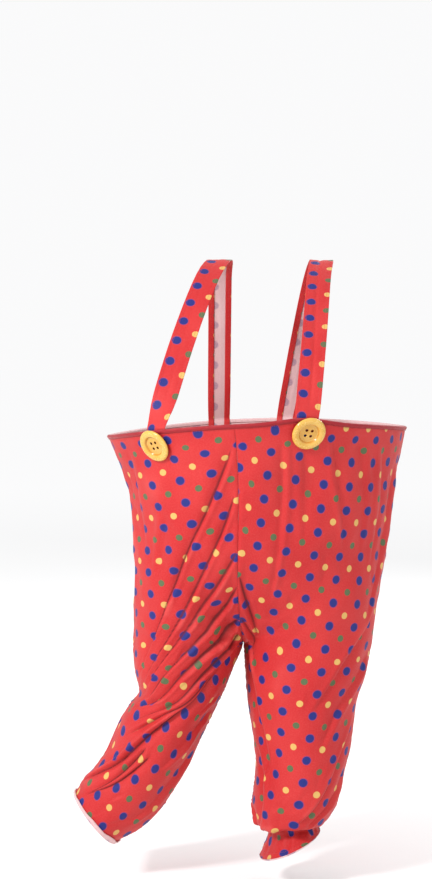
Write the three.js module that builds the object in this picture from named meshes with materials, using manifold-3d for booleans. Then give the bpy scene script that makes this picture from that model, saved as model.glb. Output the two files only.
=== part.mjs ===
// Hooped fancy-dress trousers held up by cloth braces, in the shape they keep when worn.
// Millimetres, +Z up, the front faces -Y and the wearer's right leg is on the -X side.
// The origin is midway between the two places where the braces lie on the shoulders.
import * as THREE from "three";
import { mergeVertices } from "three/addons/utils/BufferGeometryUtils.js";
import Module from "manifold-3d";

const RIGHT = -1;
const LEFT = 1;
const DEG = Math.PI / 180;

// Cloth, seams and trim
const CLOTH = 1.2;
const GAP = 0.3;
const TRIM_CLOTH = 0.8;

// The sprung hoop in the waist: its middle and rod, then its tilt and bends and the braces' pull
const HOOP = { x: -22.8, y: -40, z: -262.5, rod: 1.5 };
const HOOP_BEND = { sideTilt: 7, frontLift: 6, saddle: 7.5, pull: 7, pullAt: 17, pullWidth: 12 };
const BINDING = { inner: 1.9, leg: 3.4, throat: 0.9 };

// The crotch: where it is, how far up the seam turns upright, and how deep a leg is there against
// the seat. Then the columns and rows of each panel's grid.
const CROTCH = { x: -43.7, z: -606, apart: 0.3, rise: 170, legDepth: 0.82 };
const FRONT_SEAM_TURN = -9.2;
const GRID = { across: 17, body: 13, perSection: 2 };

// Braces, buttons and hems
const BRACE = { width: 36, thick: 1.6, steps: 36, onRadius: 233 };
// How deep below the hoop, and how far inside the cloth's outer face, a brace's sewn end lies
const BRACE_ENDS = [
  { drop: 32, inward: 2.3 },
  { drop: 22, inward: 2.3 },
  { drop: 13, inward: 2.4 },
  { drop: 8, inward: 2.9 },
  { drop: 5, inward: 3.7 },
  { drop: 0, inward: 4.7 },
  { drop: -4, inward: 5 },
];

const BUTTON = { radius: 26, thick: 6.2, drop: 20.2, off: 1.6, lean: -0.06, turns: 32 };
const BUTTON_HOLES = { radius: 2, fromCentre: 6.2 };
const HEM = { width: 8, rowHeight: 24 };

// Outline of the body part by height: where the cloth stands on each side, in front and behind
const BODY = [
  { z: -250, right: -262, left: 216, front: -279, back: 199 },
  { z: -262.5, right: -255.8, left: 210.2, front: -273, back: 193 },
  { z: -284, right: -246, left: 206, front: -263, back: 185 },
  { z: -316, right: -234, left: 201, front: -251, back: 175 },
  { z: -348, right: -226, left: 197, front: -240, back: 166 },
  { z: -412, right: -216, left: 188, front: -221, back: 153 },
  { z: -475, right: -214, left: 179, front: -201, back: 144 },
  { z: -539, right: -217, left: 169, front: -180, back: 134 },
  { z: -606, right: -218, left: 161, front: -158, back: 124 },
  { z: -650, right: -218, left: 154, front: -146, back: 118 },
];

// Legs by section: outer and inner edge as seen from the front, and where front and back stand.
// The first row of each only leads into the crotch, which is the second.
const LEGS = {
  [RIGHT]: [
    { ox: -217, oz: -570, ix: -43.7, iz: -575, front: -141, back: 107 },
    { ox: -218, oz: -606, ix: -43.7, iz: -606, front: -132.6, back: 98.6 },
    { ox: -216, oz: -645, ix: -58, iz: -642, front: -124, back: 94 },
    { ox: -210, oz: -682, ix: -75, iz: -686, front: -114, back: 92 },
    { ox: -224, oz: -704, ix: -89, iz: -716, front: -107, back: 92 },
    { ox: -240, oz: -731, ix: -106, iz: -752, front: -99, back: 93 },
    { ox: -253, oz: -762, ix: -125, iz: -792, front: -90, back: 91 },
    { ox: -268, oz: -790, ix: -145, iz: -828, front: -81, back: 88 },
    { ox: -284, oz: -812, ix: -172, iz: -873, front: -71, back: 84 },
    { ox: -300, oz: -832, ix: -206, iz: -907, front: -60, back: 78 },
    { ox: -314, oz: -853, ix: -250, iz: -932, front: -50, back: 70 },
  ],
  [LEFT]: [
    { ox: 166, oz: -570, ix: -43.7, iz: -575, front: -141, back: 107 },
    { ox: 161, oz: -606, ix: -43.7, iz: -606, front: -132.6, back: 98.6 },
    { ox: 154, oz: -650, ix: -41, iz: -650, front: -128, back: 94 },
    { ox: 136, oz: -700, ix: -37, iz: -700, front: -123, back: 91 },
    { ox: 128, oz: -750, ix: -29, iz: -750, front: -118, back: 88 },
    { ox: 120, oz: -800, ix: -24, iz: -800, front: -113, back: 86 },
    { ox: 115, oz: -842, ix: -28, iz: -842, front: -109, back: 84 },
    { ox: 106, oz: -870, ix: -31, iz: -872, front: -104, back: 82 },
    { ox: 89, oz: -888, ix: -24, iz: -893, front: -93, back: 76 },
    { ox: 73, oz: -893, ix: -5, iz: -901, front: -72, back: 60 },
    { ox: 74, oz: -900, ix: -3, iz: -914, front: -73, back: 58 },
    { ox: 79, oz: -908, ix: -13, iz: -936, front: -86, back: 62 },
  ],
};

// The largest folds. Each runs from one place to another: t goes round a leg from the inner
// front (0) by the outer side (0.5) to the inner back (1), v goes down from the waist (0) by the
// crotch (1) to the hem (2). A fold has a width and a depth, below zero for a trough.
const FOLDS = [
  { leg: RIGHT, t0: 0.04, v0: 0.14, t1: 0.4, v1: 1.2, width: 21, depth: -10 },
  { leg: RIGHT, t0: 0.02, v0: 0.48, t1: 0.34, v1: 1.16, width: 17, depth: -8 },
  { leg: RIGHT, t0: 0.08, v0: 1.0, t1: 0.42, v1: 1.34, width: 17, depth: 7 },
  { leg: RIGHT, t0: 0.2, v0: 1.15, t1: 0.47, v1: 1.88, width: 18, depth: -9 },
  { leg: RIGHT, t0: 0.28, v0: 1.45, t1: 0.33, v1: 1.9, width: 16, depth: -5 },
  { leg: LEFT, t0: 0.095, v0: 0.04, t1: 0.09, v1: 0.62, width: 20, depth: -7 },
  { leg: LEFT, t0: 0.2, v0: 0.06, t1: 0.27, v1: 0.6, width: 21, depth: -6 },
  { leg: LEFT, t0: 0.02, v0: 0.44, t1: 0.08, v1: 0.82, width: 18, depth: -7 },
  { leg: LEFT, t0: 0.41, v0: 0.92, t1: 0.27, v1: 1.3, width: 20, depth: -8 },
  { leg: LEFT, t0: 0.42, v0: 1.32, t1: 0.26, v1: 1.7, width: 19, depth: -9 },
  { leg: LEFT, t0: 0.06, v0: 1.36, t1: 0.1, v1: 1.8, width: 18, depth: -6 },
  { leg: RIGHT, t0: 0.94, v0: 0.3, t1: 0.64, v1: 1.18, width: 23, depth: -10 },
  { leg: RIGHT, t0: 0.9, v0: 0.92, t1: 0.6, v1: 1.5, width: 18, depth: -9 },
  { leg: RIGHT, t0: 0.73, v0: 0.08, t1: 0.77, v1: 0.7, width: 22, depth: -7 },
  { leg: LEFT, t0: 0.93, v0: 0.36, t1: 0.76, v1: 1.16, width: 22, depth: -9 },
  { leg: LEFT, t0: 0.78, v0: 0.06, t1: 0.71, v1: 0.7, width: 23, depth: -7 },
  { leg: LEFT, t0: 0.8, v0: 1.2, t1: 0.62, v1: 1.66, width: 20, depth: -8 },
];

const lerp = (a, b, s) => a + (b - a) * s;
const clamp = (x, low, high) => Math.min(high, Math.max(low, x));
const smooth = (low, high, x) => {
  const s = clamp((x - low) / (high - low), 0, 1);
  return s * s * (3 - 2 * s);
};

// A smooth curve through a column of a table, at a row number that need not be whole.
function atRow(table, column, row) {
  const i = clamp(Math.floor(row), 0, table.length - 2);
  const s = row - i;
  const p = (k) => table[clamp(k, 0, table.length - 1)][column];
  const [a, b, c, d] = [p(i - 1), p(i), p(i + 1), p(i + 2)];
  return b + 0.5 * s * (c - a + s * (2 * a - 5 * b + 4 * c - d + s * (3 * (b - c) + d - a)));
}

// The row number of the body table at a height.
function bodyRow(z) {
  const last = BODY.length - 2;
  let i = 0;
  while (i < last && z < BODY[i + 1].z) i++;
  return i + (z - BODY[i].z) / (BODY[i + 1].z - BODY[i].z);
}

// How far the hoop stands above its mean height at a turn from the front, towards the left leg.
function hoopRise(turn) {
  const bend = HOOP_BEND;
  const fromPull = (turn / DEG - bend.pullAt) / bend.pullWidth;
  return (
    bend.sideTilt * Math.sin(turn) +
    bend.frontLift * Math.cos(turn) +
    bend.saddle * Math.cos(2 * turn) +
    bend.pull * Math.exp(-fromPull * fromPull)
  );
}

// A point of the cloth of the hips and seat at a height and turn, both legs together.
function bodyPoint(z, turn) {
  const row = bodyRow(z);
  const side = (name) => atRow(BODY, name, row);
  const centreX = lerp(HOOP.x, CROTCH.x, smooth(-262, -606, z));
  const centreY = (side("front") + side("back")) / 2;
  const across = Math.sin(turn) < 0 ? centreX - side("right") : side("left") - centreX;
  const deep = (side("back") - side("front")) / 2;
  return new THREE.Vector3(centreX + across * Math.sin(turn), centreY - deep * Math.cos(turn), z);
}

// A point of one leg's closed loop, from its inner edge round by the front.
function loopPoint(inner, outer, front, back, t) {
  const across = (1 - Math.cos(2 * Math.PI * t)) / 2;
  const middle = (front + back) / 2;
  const deep = (back - front) / 2;
  return new THREE.Vector3(
    lerp(inner.x, outer.x, across),
    middle - deep * Math.sin(2 * Math.PI * t),
    lerp(inner.z, outer.z, across),
  );
}

// The cloth without folds: t round a leg, v down it.
function smoothCloth(leg, t, v) {
  const apart = leg * CROTCH.apart;
  if (v >= 1) {
    const table = LEGS[leg];
    const row = 1 + (v - 1) * (table.length - 2);
    const at = (name) => atRow(table, name, row);
    const inner = { x: at("ix") + apart, z: at("iz") };
    return loopPoint(inner, { x: at("ox"), z: at("oz") }, at("front"), at("back"), t);
  }
  const rowEnd = Math.sin(Math.PI * t);
  const innerZ = lerp(HOOP.z, CROTCH.z, 1 - (1 - v) * (1 - v));
  const outerZ = lerp(HOOP.z, CROTCH.z, v);
  const z = lerp(innerZ, outerZ, rowEnd) - (BINDING.inner + GAP) * (1 - v);
  const turn = FRONT_SEAM_TURN * DEG * (1 - v) + leg * Math.PI * t;
  const raised = Math.min(1, ((HOOP.z - CROTCH.z) * (1 - v) * (1 - v)) / CROTCH.rise);
  const open = Math.sqrt(1 - (1 - raised) * (1 - raised));
  const body = bodyPoint(z, turn);
  const row = bodyRow(z);
  const outerX = atRow(BODY, leg === RIGHT ? "right" : "left", row);
  const [front, back] = [atRow(BODY, "front", row), atRow(BODY, "back", row)];
  const [middle, deep] = [(front + back) / 2, ((back - front) / 2) * CROTCH.legDepth];
  const loop = loopPoint({ x: CROTCH.x, z }, { x: outerX, z }, middle - deep, middle + deep, t);
  const point = loop.lerp(body, open);
  point.x += apart * (1 - open);
  point.z += hoopRise(turn) * (1 - smooth(0, 0.85, v));
  return point;
}

// How far the folds move the cloth out of its smooth shape.
function foldDepth(leg, t, v) {
  const girth = 700;
  const down = 340;
  let depth = 0;
  for (const fold of FOLDS) {
    if (fold.leg !== leg) continue;
    const run = [(fold.t1 - fold.t0) * girth, (fold.v1 - fold.v0) * down];
    const here = [(t - fold.t0) * girth, (v - fold.v0) * down];
    const length = Math.hypot(...run);
    const along = (run[0] * here[0] + run[1] * here[1]) / (length * length);
    const aside = (run[0] * here[1] - run[1] * here[0]) / length / fold.width;
    const fade = smooth(-0.05, 0.25, along) * (1 - smooth(0.75, 1.05, along));
    depth += fold.depth * fade * Math.exp(-aside * aside);
  }
  const seams = smooth(0, 0.05, t) * (1 - smooth(0.95, 1, t));
  const ends = smooth(0, 0.12, v) * (1 - smooth(1.78, 1.94, v));
  return depth * seams * ends;
}

// The outward direction of a surface given as a function of t and v. The surface has a crease at
// the crotch, so the two sides of v = 1 are kept apart.
function outward(surface, leg, t, v) {
  const step = 1e-3;
  const [low, high] = v < 1 ? [0, 1 - step] : [1, 2];
  const [a, b] = [clamp(t - step, 0, 1), clamp(t + step, 0, 1)];
  const [c, d] = [clamp(v - step, low, high), clamp(v + step, low, high)];
  const round = surface(leg, b, v).sub(surface(leg, a, v));
  const down = surface(leg, t, d).sub(surface(leg, t, c));
  return round.cross(down).multiplyScalar(-leg).normalize();
}

// The outer face of the cloth with its folds.
function cloth(leg, t, v) {
  const point = smoothCloth(leg, t, v);
  const depth = foldDepth(leg, t, v);
  return depth ? point.addScaledVector(outward(smoothCloth, leg, t, v), depth) : point;
}

// A point above (or, below zero, inside) the cloth's outer face. Along the seam between the legs
// both panels are measured in the seam's own plane, so that their edges stay side by side.
function overCloth(leg, t, v, height) {
  const out = outward(cloth, leg, t, v);
  if (v < 1 && Math.min(t, 1 - t) < 0.002) out.setX(0).normalize();
  return cloth(leg, t, v).addScaledVector(out, height);
}

// A closed wall between two grids of points, rows of columns: its front and its back share the
// same diagonals, each the shorter one of the front. A round wall's last column joins its first.
function wall(front, back, round) {
  const rows = front.length;
  const columns = front[0].length;
  const offset = rows * columns;
  const next = (j) => (j + 1) % columns;
  const spans = round ? columns : columns - 1;
  const index = [];
  const quad = (a, b, c, d) => index.push(a, b, c, a, c, d);
  for (let i = 0; i < rows - 1; i++) {
    for (let j = 0; j < spans; j++) {
      const [a, b] = [i * columns + j, i * columns + next(j)];
      const [c, d] = [b + columns, a + columns];
      const one = front[i][j].distanceTo(front[i + 1][next(j)]);
      const other = front[i][next(j)].distanceTo(front[i + 1][j]);
      if (one <= other) index.push(a, b, c, a, c, d);
      else index.push(a, b, d, b, c, d);
      const [e, f, g, h] = [a, b, c, d].map((k) => k + offset);
      if (one <= other) index.push(e, g, f, e, h, g);
      else index.push(e, h, f, f, h, g);
    }
  }
  const rim = (a, b) => quad(b, a, a + offset, b + offset);
  for (let j = 0; j < spans; j++) {
    rim(j, next(j));
    rim((rows - 1) * columns + next(j), (rows - 1) * columns + j);
  }
  for (let i = 0; !round && i < rows - 1; i++) {
    rim((i + 1) * columns, i * columns);
    rim(i * columns + columns - 1, (i + 1) * columns + columns - 1);
  }
  const positions = [...front.flat(), ...back.flat()].flatMap((p) => [p.x, p.y, p.z]);
  const geometry = new THREE.BufferGeometry();
  geometry.setAttribute("position", new THREE.Float32BufferAttribute(positions, 3));
  geometry.setIndex(index);
  return outwardFacing(geometry);
}

// A closed ring or tube: each row of points is one section, and the last row joins the first.
function loopOf(sections) {
  const size = sections[0].length;
  const index = [];
  sections.forEach((_, i) => {
    const [here, there] = [i * size, ((i + 1) % sections.length) * size];
    for (let j = 0; j < size; j++) {
      const k = (j + 1) % size;
      index.push(here + j, here + k, there + k, here + j, there + k, there + j);
    }
  });
  const positions = sections.flat().flatMap((p) => [p.x, p.y, p.z]);
  const geometry = new THREE.BufferGeometry();
  geometry.setAttribute("position", new THREE.Float32BufferAttribute(positions, 3));
  geometry.setIndex(index);
  return outwardFacing(geometry);
}

// Turns the faces round if the closed geometry's volume comes out below zero.
function outwardFacing(geometry) {
  const p = geometry.attributes.position;
  const index = geometry.index.array;
  const corner = [0, 1, 2].map(() => new THREE.Vector3());
  let volume = 0;
  for (let i = 0; i < index.length; i += 3) {
    corner.forEach((c, k) => c.fromBufferAttribute(p, index[i + k]));
    volume += corner[0].dot(corner[1].clone().cross(corner[2]));
  }
  if (volume < 0) {
    for (let i = 0; i < index.length; i += 3) [index[i], index[i + 1]] = [index[i + 1], index[i]];
  }
  geometry.computeVertexNormals();
  return geometry;
}

// The rows of a panel's grid, from the waist to the hem.
function panelRows(leg) {
  const below = (LEGS[leg].length - 2) * GRID.perSection;
  const rows = Array.from({ length: GRID.body }, (_, i) => i / GRID.body);
  for (let i = 0; i <= below; i++) rows.push(1 + i / below);
  return rows;
}

// One cloth panel: a wall between two values of t, whole from the waist to the hem.
function panel(leg, tStart, tEnd) {
  const steps = Array.from({ length: GRID.across + 1 }, (_, j) => j / GRID.across);
  const perMillimetre = (t, v, step) => {
    return Math.abs(step) / smoothCloth(leg, t, v).distanceTo(smoothCloth(leg, t + step, v));
  };
  const grid = (height) =>
    panelRows(leg).map((v) => {
      const from = tStart + (GAP / 2) * perMillimetre(tStart, v, 1e-3);
      const to = tEnd - (GAP / 2) * perMillimetre(tEnd, v, -1e-3);
      return steps.map((s) => overCloth(leg, lerp(from, to, s), v, height));
    });
  return wall(grid(0), grid(-CLOTH), false);
}

// The leg and t of a place on the waist, at a turn from the front towards the left leg.
function onWaist(turn) {
  const fromSeam = turn - FRONT_SEAM_TURN * DEG;
  const wrapped = Math.atan2(Math.sin(fromSeam), Math.cos(fromSeam));
  return wrapped < 0 ? { leg: RIGHT, t: -wrapped / Math.PI } : { leg: LEFT, t: wrapped / Math.PI };
}

// The hoop's own frame at a turn: its centre just above the panels' edge, outwards, and down.
function hoopFrame(turn) {
  const { leg, t } = onWaist(turn);
  const edge = smoothCloth(leg, t, 0);
  const across = outward(smoothCloth, leg, t, 0);
  const down = smoothCloth(leg, t, 0.01).sub(edge);
  down.addScaledVector(across, -down.dot(across)).normalize();
  const centre = edge.addScaledVector(down, -BINDING.inner - GAP).addScaledVector(across, -CLOTH / 2);
  return { centre, across, down };
}

// A point so far below the hoop's centre and above (or inside) the cloth's outer face.
function nearWaist(turn, drop, height) {
  const toEdge = BINDING.inner + GAP;
  if (drop > toEdge) {
    const { leg, t } = onWaist(turn);
    const rate = smoothCloth(leg, t, 0).distanceTo(smoothCloth(leg, t, 0.01)) / 0.01;
    return overCloth(leg, t, (drop - toEdge) / rate, height);
  }
  const { centre, across, down } = hoopFrame(turn);
  return centre.addScaledVector(across, CLOTH / 2 + height).addScaledVector(down, drop);
}

// The turns round the waist at which the panels have their columns.
function waistTurns() {
  const turns = [];
  const columns = 2 * GRID.across;
  for (let j = 0; j < 2 * columns; j++) turns.push((FRONT_SEAM_TURN * DEG) + (Math.PI * j) / columns);
  return turns;
}

// A ring that follows the hoop, with a section of points [out, down].
function alongHoop(section) {
  const place = (turn) => {
    const { centre, across, down } = hoopFrame(turn);
    return section.map(([out, drop]) =>
      centre.clone().addScaledVector(across, out).addScaledVector(down, drop),
    );
  };
  return loopOf(waistTurns().map(place));
}

function hoopRod() {
  const at = (angle) => [HOOP.rod * Math.cos(angle * DEG), HOOP.rod * Math.sin(angle * DEG)];
  return alongHoop([0, 60, 120, 180, 240, 300].map(at));
}

// The binding is folded over the hoop, and its two edges close on the panels' top edge.
function binding() {
  const edge = (radius, throat) => {
    const arc = [212, 160, 115, 65, 20, -32].map((a) => [
      radius * Math.cos(a * DEG),
      -radius * Math.sin(a * DEG),
    ]);
    return [[-throat, BINDING.leg], ...arc, [throat, BINDING.leg]];
  };
  const inside = edge(BINDING.inner + 0.1, BINDING.throat);
  const outside = edge(BINDING.inner + 0.1 + TRIM_CLOTH, BINDING.throat + TRIM_CLOTH);
  return alongHoop([...inside, ...outside.reverse()]);
}

// A brace: sewn inside the front of the waist, over the shoulder, and sewn inside the back. Its
// ends follow the hoop, and it runs straight and flat from the waist to the shoulder.
function brace(frontTurn, backTurn, shoulderX) {
  const columns = [-1, 0, 1];
  const half = BRACE.width / 2;
  const sewn = (turn, way, side) =>
    BRACE_ENDS.map(({ drop, inward }) =>
      columns.map((a) => {
        const here = turn + (way * a * half) / BRACE.onRadius;
        return nearWaist(here, drop, (side * BRACE.thick) / 2 - inward);
      }),
    );
  const middle = (rows, i) => rows[i][1].clone();
  const [frontEnd, backEnd] = [sewn(frontTurn, 1, 0), sewn(backTurn, -1, 0)];
  const last = BRACE_ENDS.length - 1;
  const [front, back] = [middle(frontEnd, last), middle(backEnd, last)];
  const path = new THREE.CatmullRomCurve3(
    [
      front,
      new THREE.Vector3(lerp(shoulderX, front.x, 0.6), lerp(0, front.y, 0.7), -128),
      new THREE.Vector3(lerp(shoulderX, front.x, 0.2), -62, -26),
      new THREE.Vector3(shoulderX, 0, BRACE.thick / 2),
      new THREE.Vector3(lerp(shoulderX, back.x, 0.15), 58, -26),
      new THREE.Vector3(lerp(shoulderX, back.x, 0.55), lerp(0, back.y, 0.7), -128),
      back,
    ],
    false,
    "centripetal",
  );
  const frontAcross = new THREE.Vector3(Math.cos(frontTurn), Math.sin(frontTurn), 0);
  const backAcross = new THREE.Vector3(-Math.cos(backTurn), -Math.sin(backTurn), 0);
  const topAcross = new THREE.Vector3(1, 0, 0);
  const free = (side) =>
    Array.from({ length: BRACE.steps - 1 }, (_, i) => {
      const s = (i + 1) / BRACE.steps;
      const centre = path.getPointAt(s);
      const along = path.getTangentAt(s);
      const across = frontAcross.clone().lerp(topAcross, smooth(0, 0.1, s));
      across.lerp(backAcross, smooth(0.88, 1, s));
      across.addScaledVector(along, -across.dot(along)).normalize();
      const normal = across.clone().cross(along).normalize();
      return columns.map((a) =>
        centre
          .clone()
          .addScaledVector(across, a * half)
          .addScaledVector(normal, (side * BRACE.thick) / 2),
      );
    });
  const grid = (side) => [
    ...sewn(frontTurn, 1, side),
    ...free(side),
    ...sewn(backTurn, -1, side).reverse(),
  ];
  return wall(grid(1), grid(-1), false);
}

const wasm = await Module();
wasm.setup();

// Cuts tools out of a closed geometry.
function cut(geometry, tools) {
  const solid = (g) => {
    const bare = g.clone();
    bare.deleteAttribute("normal");
    bare.deleteAttribute("uv");
    const merged = mergeVertices(bare, 1e-4);
    return new wasm.Manifold(
      new wasm.Mesh({
        numProp: 3,
        vertProperties: merged.attributes.position.array,
        triVerts: new Uint32Array(merged.index.array),
      }),
    );
  };
  const mesh = tools.reduce((rest, tool) => rest.subtract(solid(tool)), solid(geometry)).getMesh();
  const result = new THREE.BufferGeometry();
  result.setAttribute("position", new THREE.BufferAttribute(mesh.vertProperties, 3));
  result.setIndex(new THREE.BufferAttribute(mesh.triVerts, 1));
  result.computeVertexNormals();
  return result;
}

// A big four-hole button: a rounded rim round a dished middle. Its back lies on z = 0.
function buttonGeometry() {
  const { radius, thick } = BUTTON;
  const profile = [
    [0, 0],
    [radius - 4, 0],
    [radius - 0.9, 1.3],
    [radius, 3.2],
    [radius - 1.2, 5.3],
    [radius - 4.5, thick],
    [radius - 8, thick - 0.6],
    [radius - 12, 3.5],
    [radius - 14, 2.9],
    [0, 3.1],
  ].map(([r, h]) => new THREE.Vector2(r, h));
  const body = new THREE.LatheGeometry(profile, BUTTON.turns).rotateX(90 * DEG);
  const holes = [45, 135, 225, 315].map((a) =>
    new THREE.CylinderGeometry(BUTTON_HOLES.radius, BUTTON_HOLES.radius, 4 * thick, 8)
      .rotateX(90 * DEG)
      .translate(
        BUTTON_HOLES.fromCentre * Math.cos(a * DEG),
        BUTTON_HOLES.fromCentre * Math.sin(a * DEG),
        0,
      ),
  );
  return cut(body, holes);
}

// Where a button lies: its top edge on the binding and the rest just off the cloth.
function placeButton(mesh, turn) {
  const { centre, across, down } = hoopFrame(turn);
  const side = new THREE.Vector3(Math.cos(turn), Math.sin(turn), 0);
  const out = across.clone().addScaledVector(down, -BUTTON.lean).normalize();
  const up = out.clone().cross(side).normalize();
  side.copy(up).cross(out);
  mesh.position.copy(centre.addScaledVector(down, BUTTON.drop).addScaledVector(across, BUTTON.off));
  mesh.setRotationFromMatrix(new THREE.Matrix4().makeBasis(side, up, out));
  return mesh;
}

// The turned hem: a band of cloth outside (or inside) the end of a leg.
function hem(leg, outside) {
  const rowLength = 1 / (LEGS[leg].length - 2);
  const rows = [2 - (HEM.width / HEM.rowHeight) * rowLength, 2];
  const columns = Array.from({ length: 2 * GRID.across }, (_, j) => j / (2 * GRID.across));
  const near = outside ? GAP : -CLOTH - 2 * GAP;
  const far = near + (outside ? TRIM_CLOTH : -TRIM_CLOTH);
  const grid = (height) => rows.map((v) => columns.map((t) => overCloth(leg, t, v, height)));
  return wall(grid(near), grid(far), true);
}

const finish = (color, roughness) =>
  new THREE.MeshStandardMaterial({ color, roughness, metalness: 0, side: THREE.DoubleSide });
const dotted = finish(0xdf3a3c, 0.55);
const bindingRed = finish(0xb3141f, 0.6);
const reverse = finish(0xf0b9b9, 0.8);
const yellow = finish(0xf2c23a, 0.3);
const plastic = finish(0xe9e6dc, 0.5);

const garment = new THREE.Group();
function add(name, geometry, material) {
  const mesh = new THREE.Mesh(geometry, material);
  mesh.name = name;
  garment.add(mesh);
  return mesh;
}

add("front_right", panel(RIGHT, 0, 0.5), dotted);
add("back_right", panel(RIGHT, 0.5, 1), dotted);
add("front_left", panel(LEFT, 0, 0.5), dotted);
add("back_left", panel(LEFT, 0.5, 1), dotted);
add("waist_hoop", hoopRod(), plastic);
add("waist_binding", binding(), bindingRed);
add("brace_right", brace(-42 * DEG, 195 * DEG, -80), dotted);
add("brace_left", brace(18 * DEG, 166 * DEG, 80), dotted);
placeButton(add("button_right", buttonGeometry(), yellow), -43.6 * DEG);
placeButton(add("button_left", buttonGeometry(), yellow), 18 * DEG);
add("hem_right", hem(RIGHT, true), reverse);
add("hem_left", hem(LEFT, false), reverse);

export default garment;
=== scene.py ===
"""Hooped fancy-dress trousers with cloth braces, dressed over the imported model.

Shapes are worked out in millimetres, and every piece is made in metres in the model's frame.
The front faces -Y, and the wearer's right leg is on the -X side.
"""

import bmesh
import bpy
import numpy as np
from mathutils import Matrix, Vector


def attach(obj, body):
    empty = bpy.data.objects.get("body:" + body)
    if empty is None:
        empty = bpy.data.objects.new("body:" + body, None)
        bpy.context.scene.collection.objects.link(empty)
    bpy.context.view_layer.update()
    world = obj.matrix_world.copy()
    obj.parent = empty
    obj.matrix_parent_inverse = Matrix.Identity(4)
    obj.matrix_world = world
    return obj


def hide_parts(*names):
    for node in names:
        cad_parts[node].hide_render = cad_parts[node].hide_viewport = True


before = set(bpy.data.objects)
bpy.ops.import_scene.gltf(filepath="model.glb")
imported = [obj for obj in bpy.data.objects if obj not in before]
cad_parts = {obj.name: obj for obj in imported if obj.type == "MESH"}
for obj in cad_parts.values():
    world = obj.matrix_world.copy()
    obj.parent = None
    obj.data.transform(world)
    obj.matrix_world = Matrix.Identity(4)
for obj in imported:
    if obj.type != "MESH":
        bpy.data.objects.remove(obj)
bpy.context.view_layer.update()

MM = 0.001
RIGHT = -1
LEFT = 1

# The hoop in the waist, the crotch and the seams, with the same values as the solids
HOOP = {"x": -22.8, "y": -40.0, "z": -262.5}
HOOP_BEND = {"side_tilt": 7, "front_lift": 6, "saddle": 7.5, "pull": 7, "pull_at": 17, "pull_width": 12}
CROTCH = {"x": -43.7, "z": -606.0, "apart": 0.3, "rise": 170.0, "leg_depth": 0.82}
FRONT_SEAM_TURN = np.radians(-9.2)
HOOP_TO_EDGE = 2.2
WALL = 1.2

# The cloth as it is shown: its thickness and the half-round at a seam
CLOTH = {"thick": 0.7, "seam_round": 0.95}


def table(names, rows):
    return dict(zip(names.split(), np.array(rows, float).T))


# Outline of the body part by height: where the cloth stands on each side, in front and behind
BODY = table("z right left front back", [
    (-250, -262, 216, -279, 199),
    (-262.5, -255.8, 210.2, -273, 193),
    (-284, -246, 206, -263, 185),
    (-316, -234, 201, -251, 175),
    (-348, -226, 197, -240, 166),
    (-412, -216, 188, -221, 153),
    (-475, -214, 179, -201, 144),
    (-539, -217, 169, -180, 134),
    (-606, -218, 161, -158, 124),
    (-650, -218, 154, -146, 118),
])

# Legs by section: outer and inner edge as seen from the front, and where front and back stand
LEG_COLUMNS = "ox oz ix iz front back"
LEGS = {
    RIGHT: table(LEG_COLUMNS, [
        (-217, -570, -43.7, -575, -141, 107),
        (-218, -606, -43.7, -606, -132.6, 98.6),
        (-216, -645, -58, -642, -124, 94),
        (-210, -682, -75, -686, -114, 92),
        (-224, -704, -89, -716, -107, 92),
        (-240, -731, -106, -752, -99, 93),
        (-253, -762, -125, -792, -90, 91),
        (-268, -790, -145, -828, -81, 88),
        (-284, -812, -172, -873, -71, 84),
        (-300, -832, -206, -907, -60, 78),
        (-314, -853, -250, -932, -50, 70),
    ]),
    LEFT: table(LEG_COLUMNS, [
        (166, -570, -43.7, -575, -141, 107),
        (161, -606, -43.7, -606, -132.6, 98.6),
        (154, -650, -41, -650, -128, 94),
        (136, -700, -37, -700, -123, 91),
        (128, -750, -29, -750, -118, 88),
        (120, -800, -24, -800, -113, 86),
        (115, -842, -28, -842, -109, 84),
        (106, -870, -31, -872, -104, 82),
        (89, -888, -24, -893, -93, 76),
        (73, -893, -5, -901, -72, 60),
        (74, -900, -3, -914, -73, 58),
        (79, -907, -17, -950, -88, 62),
    ]),
}

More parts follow.
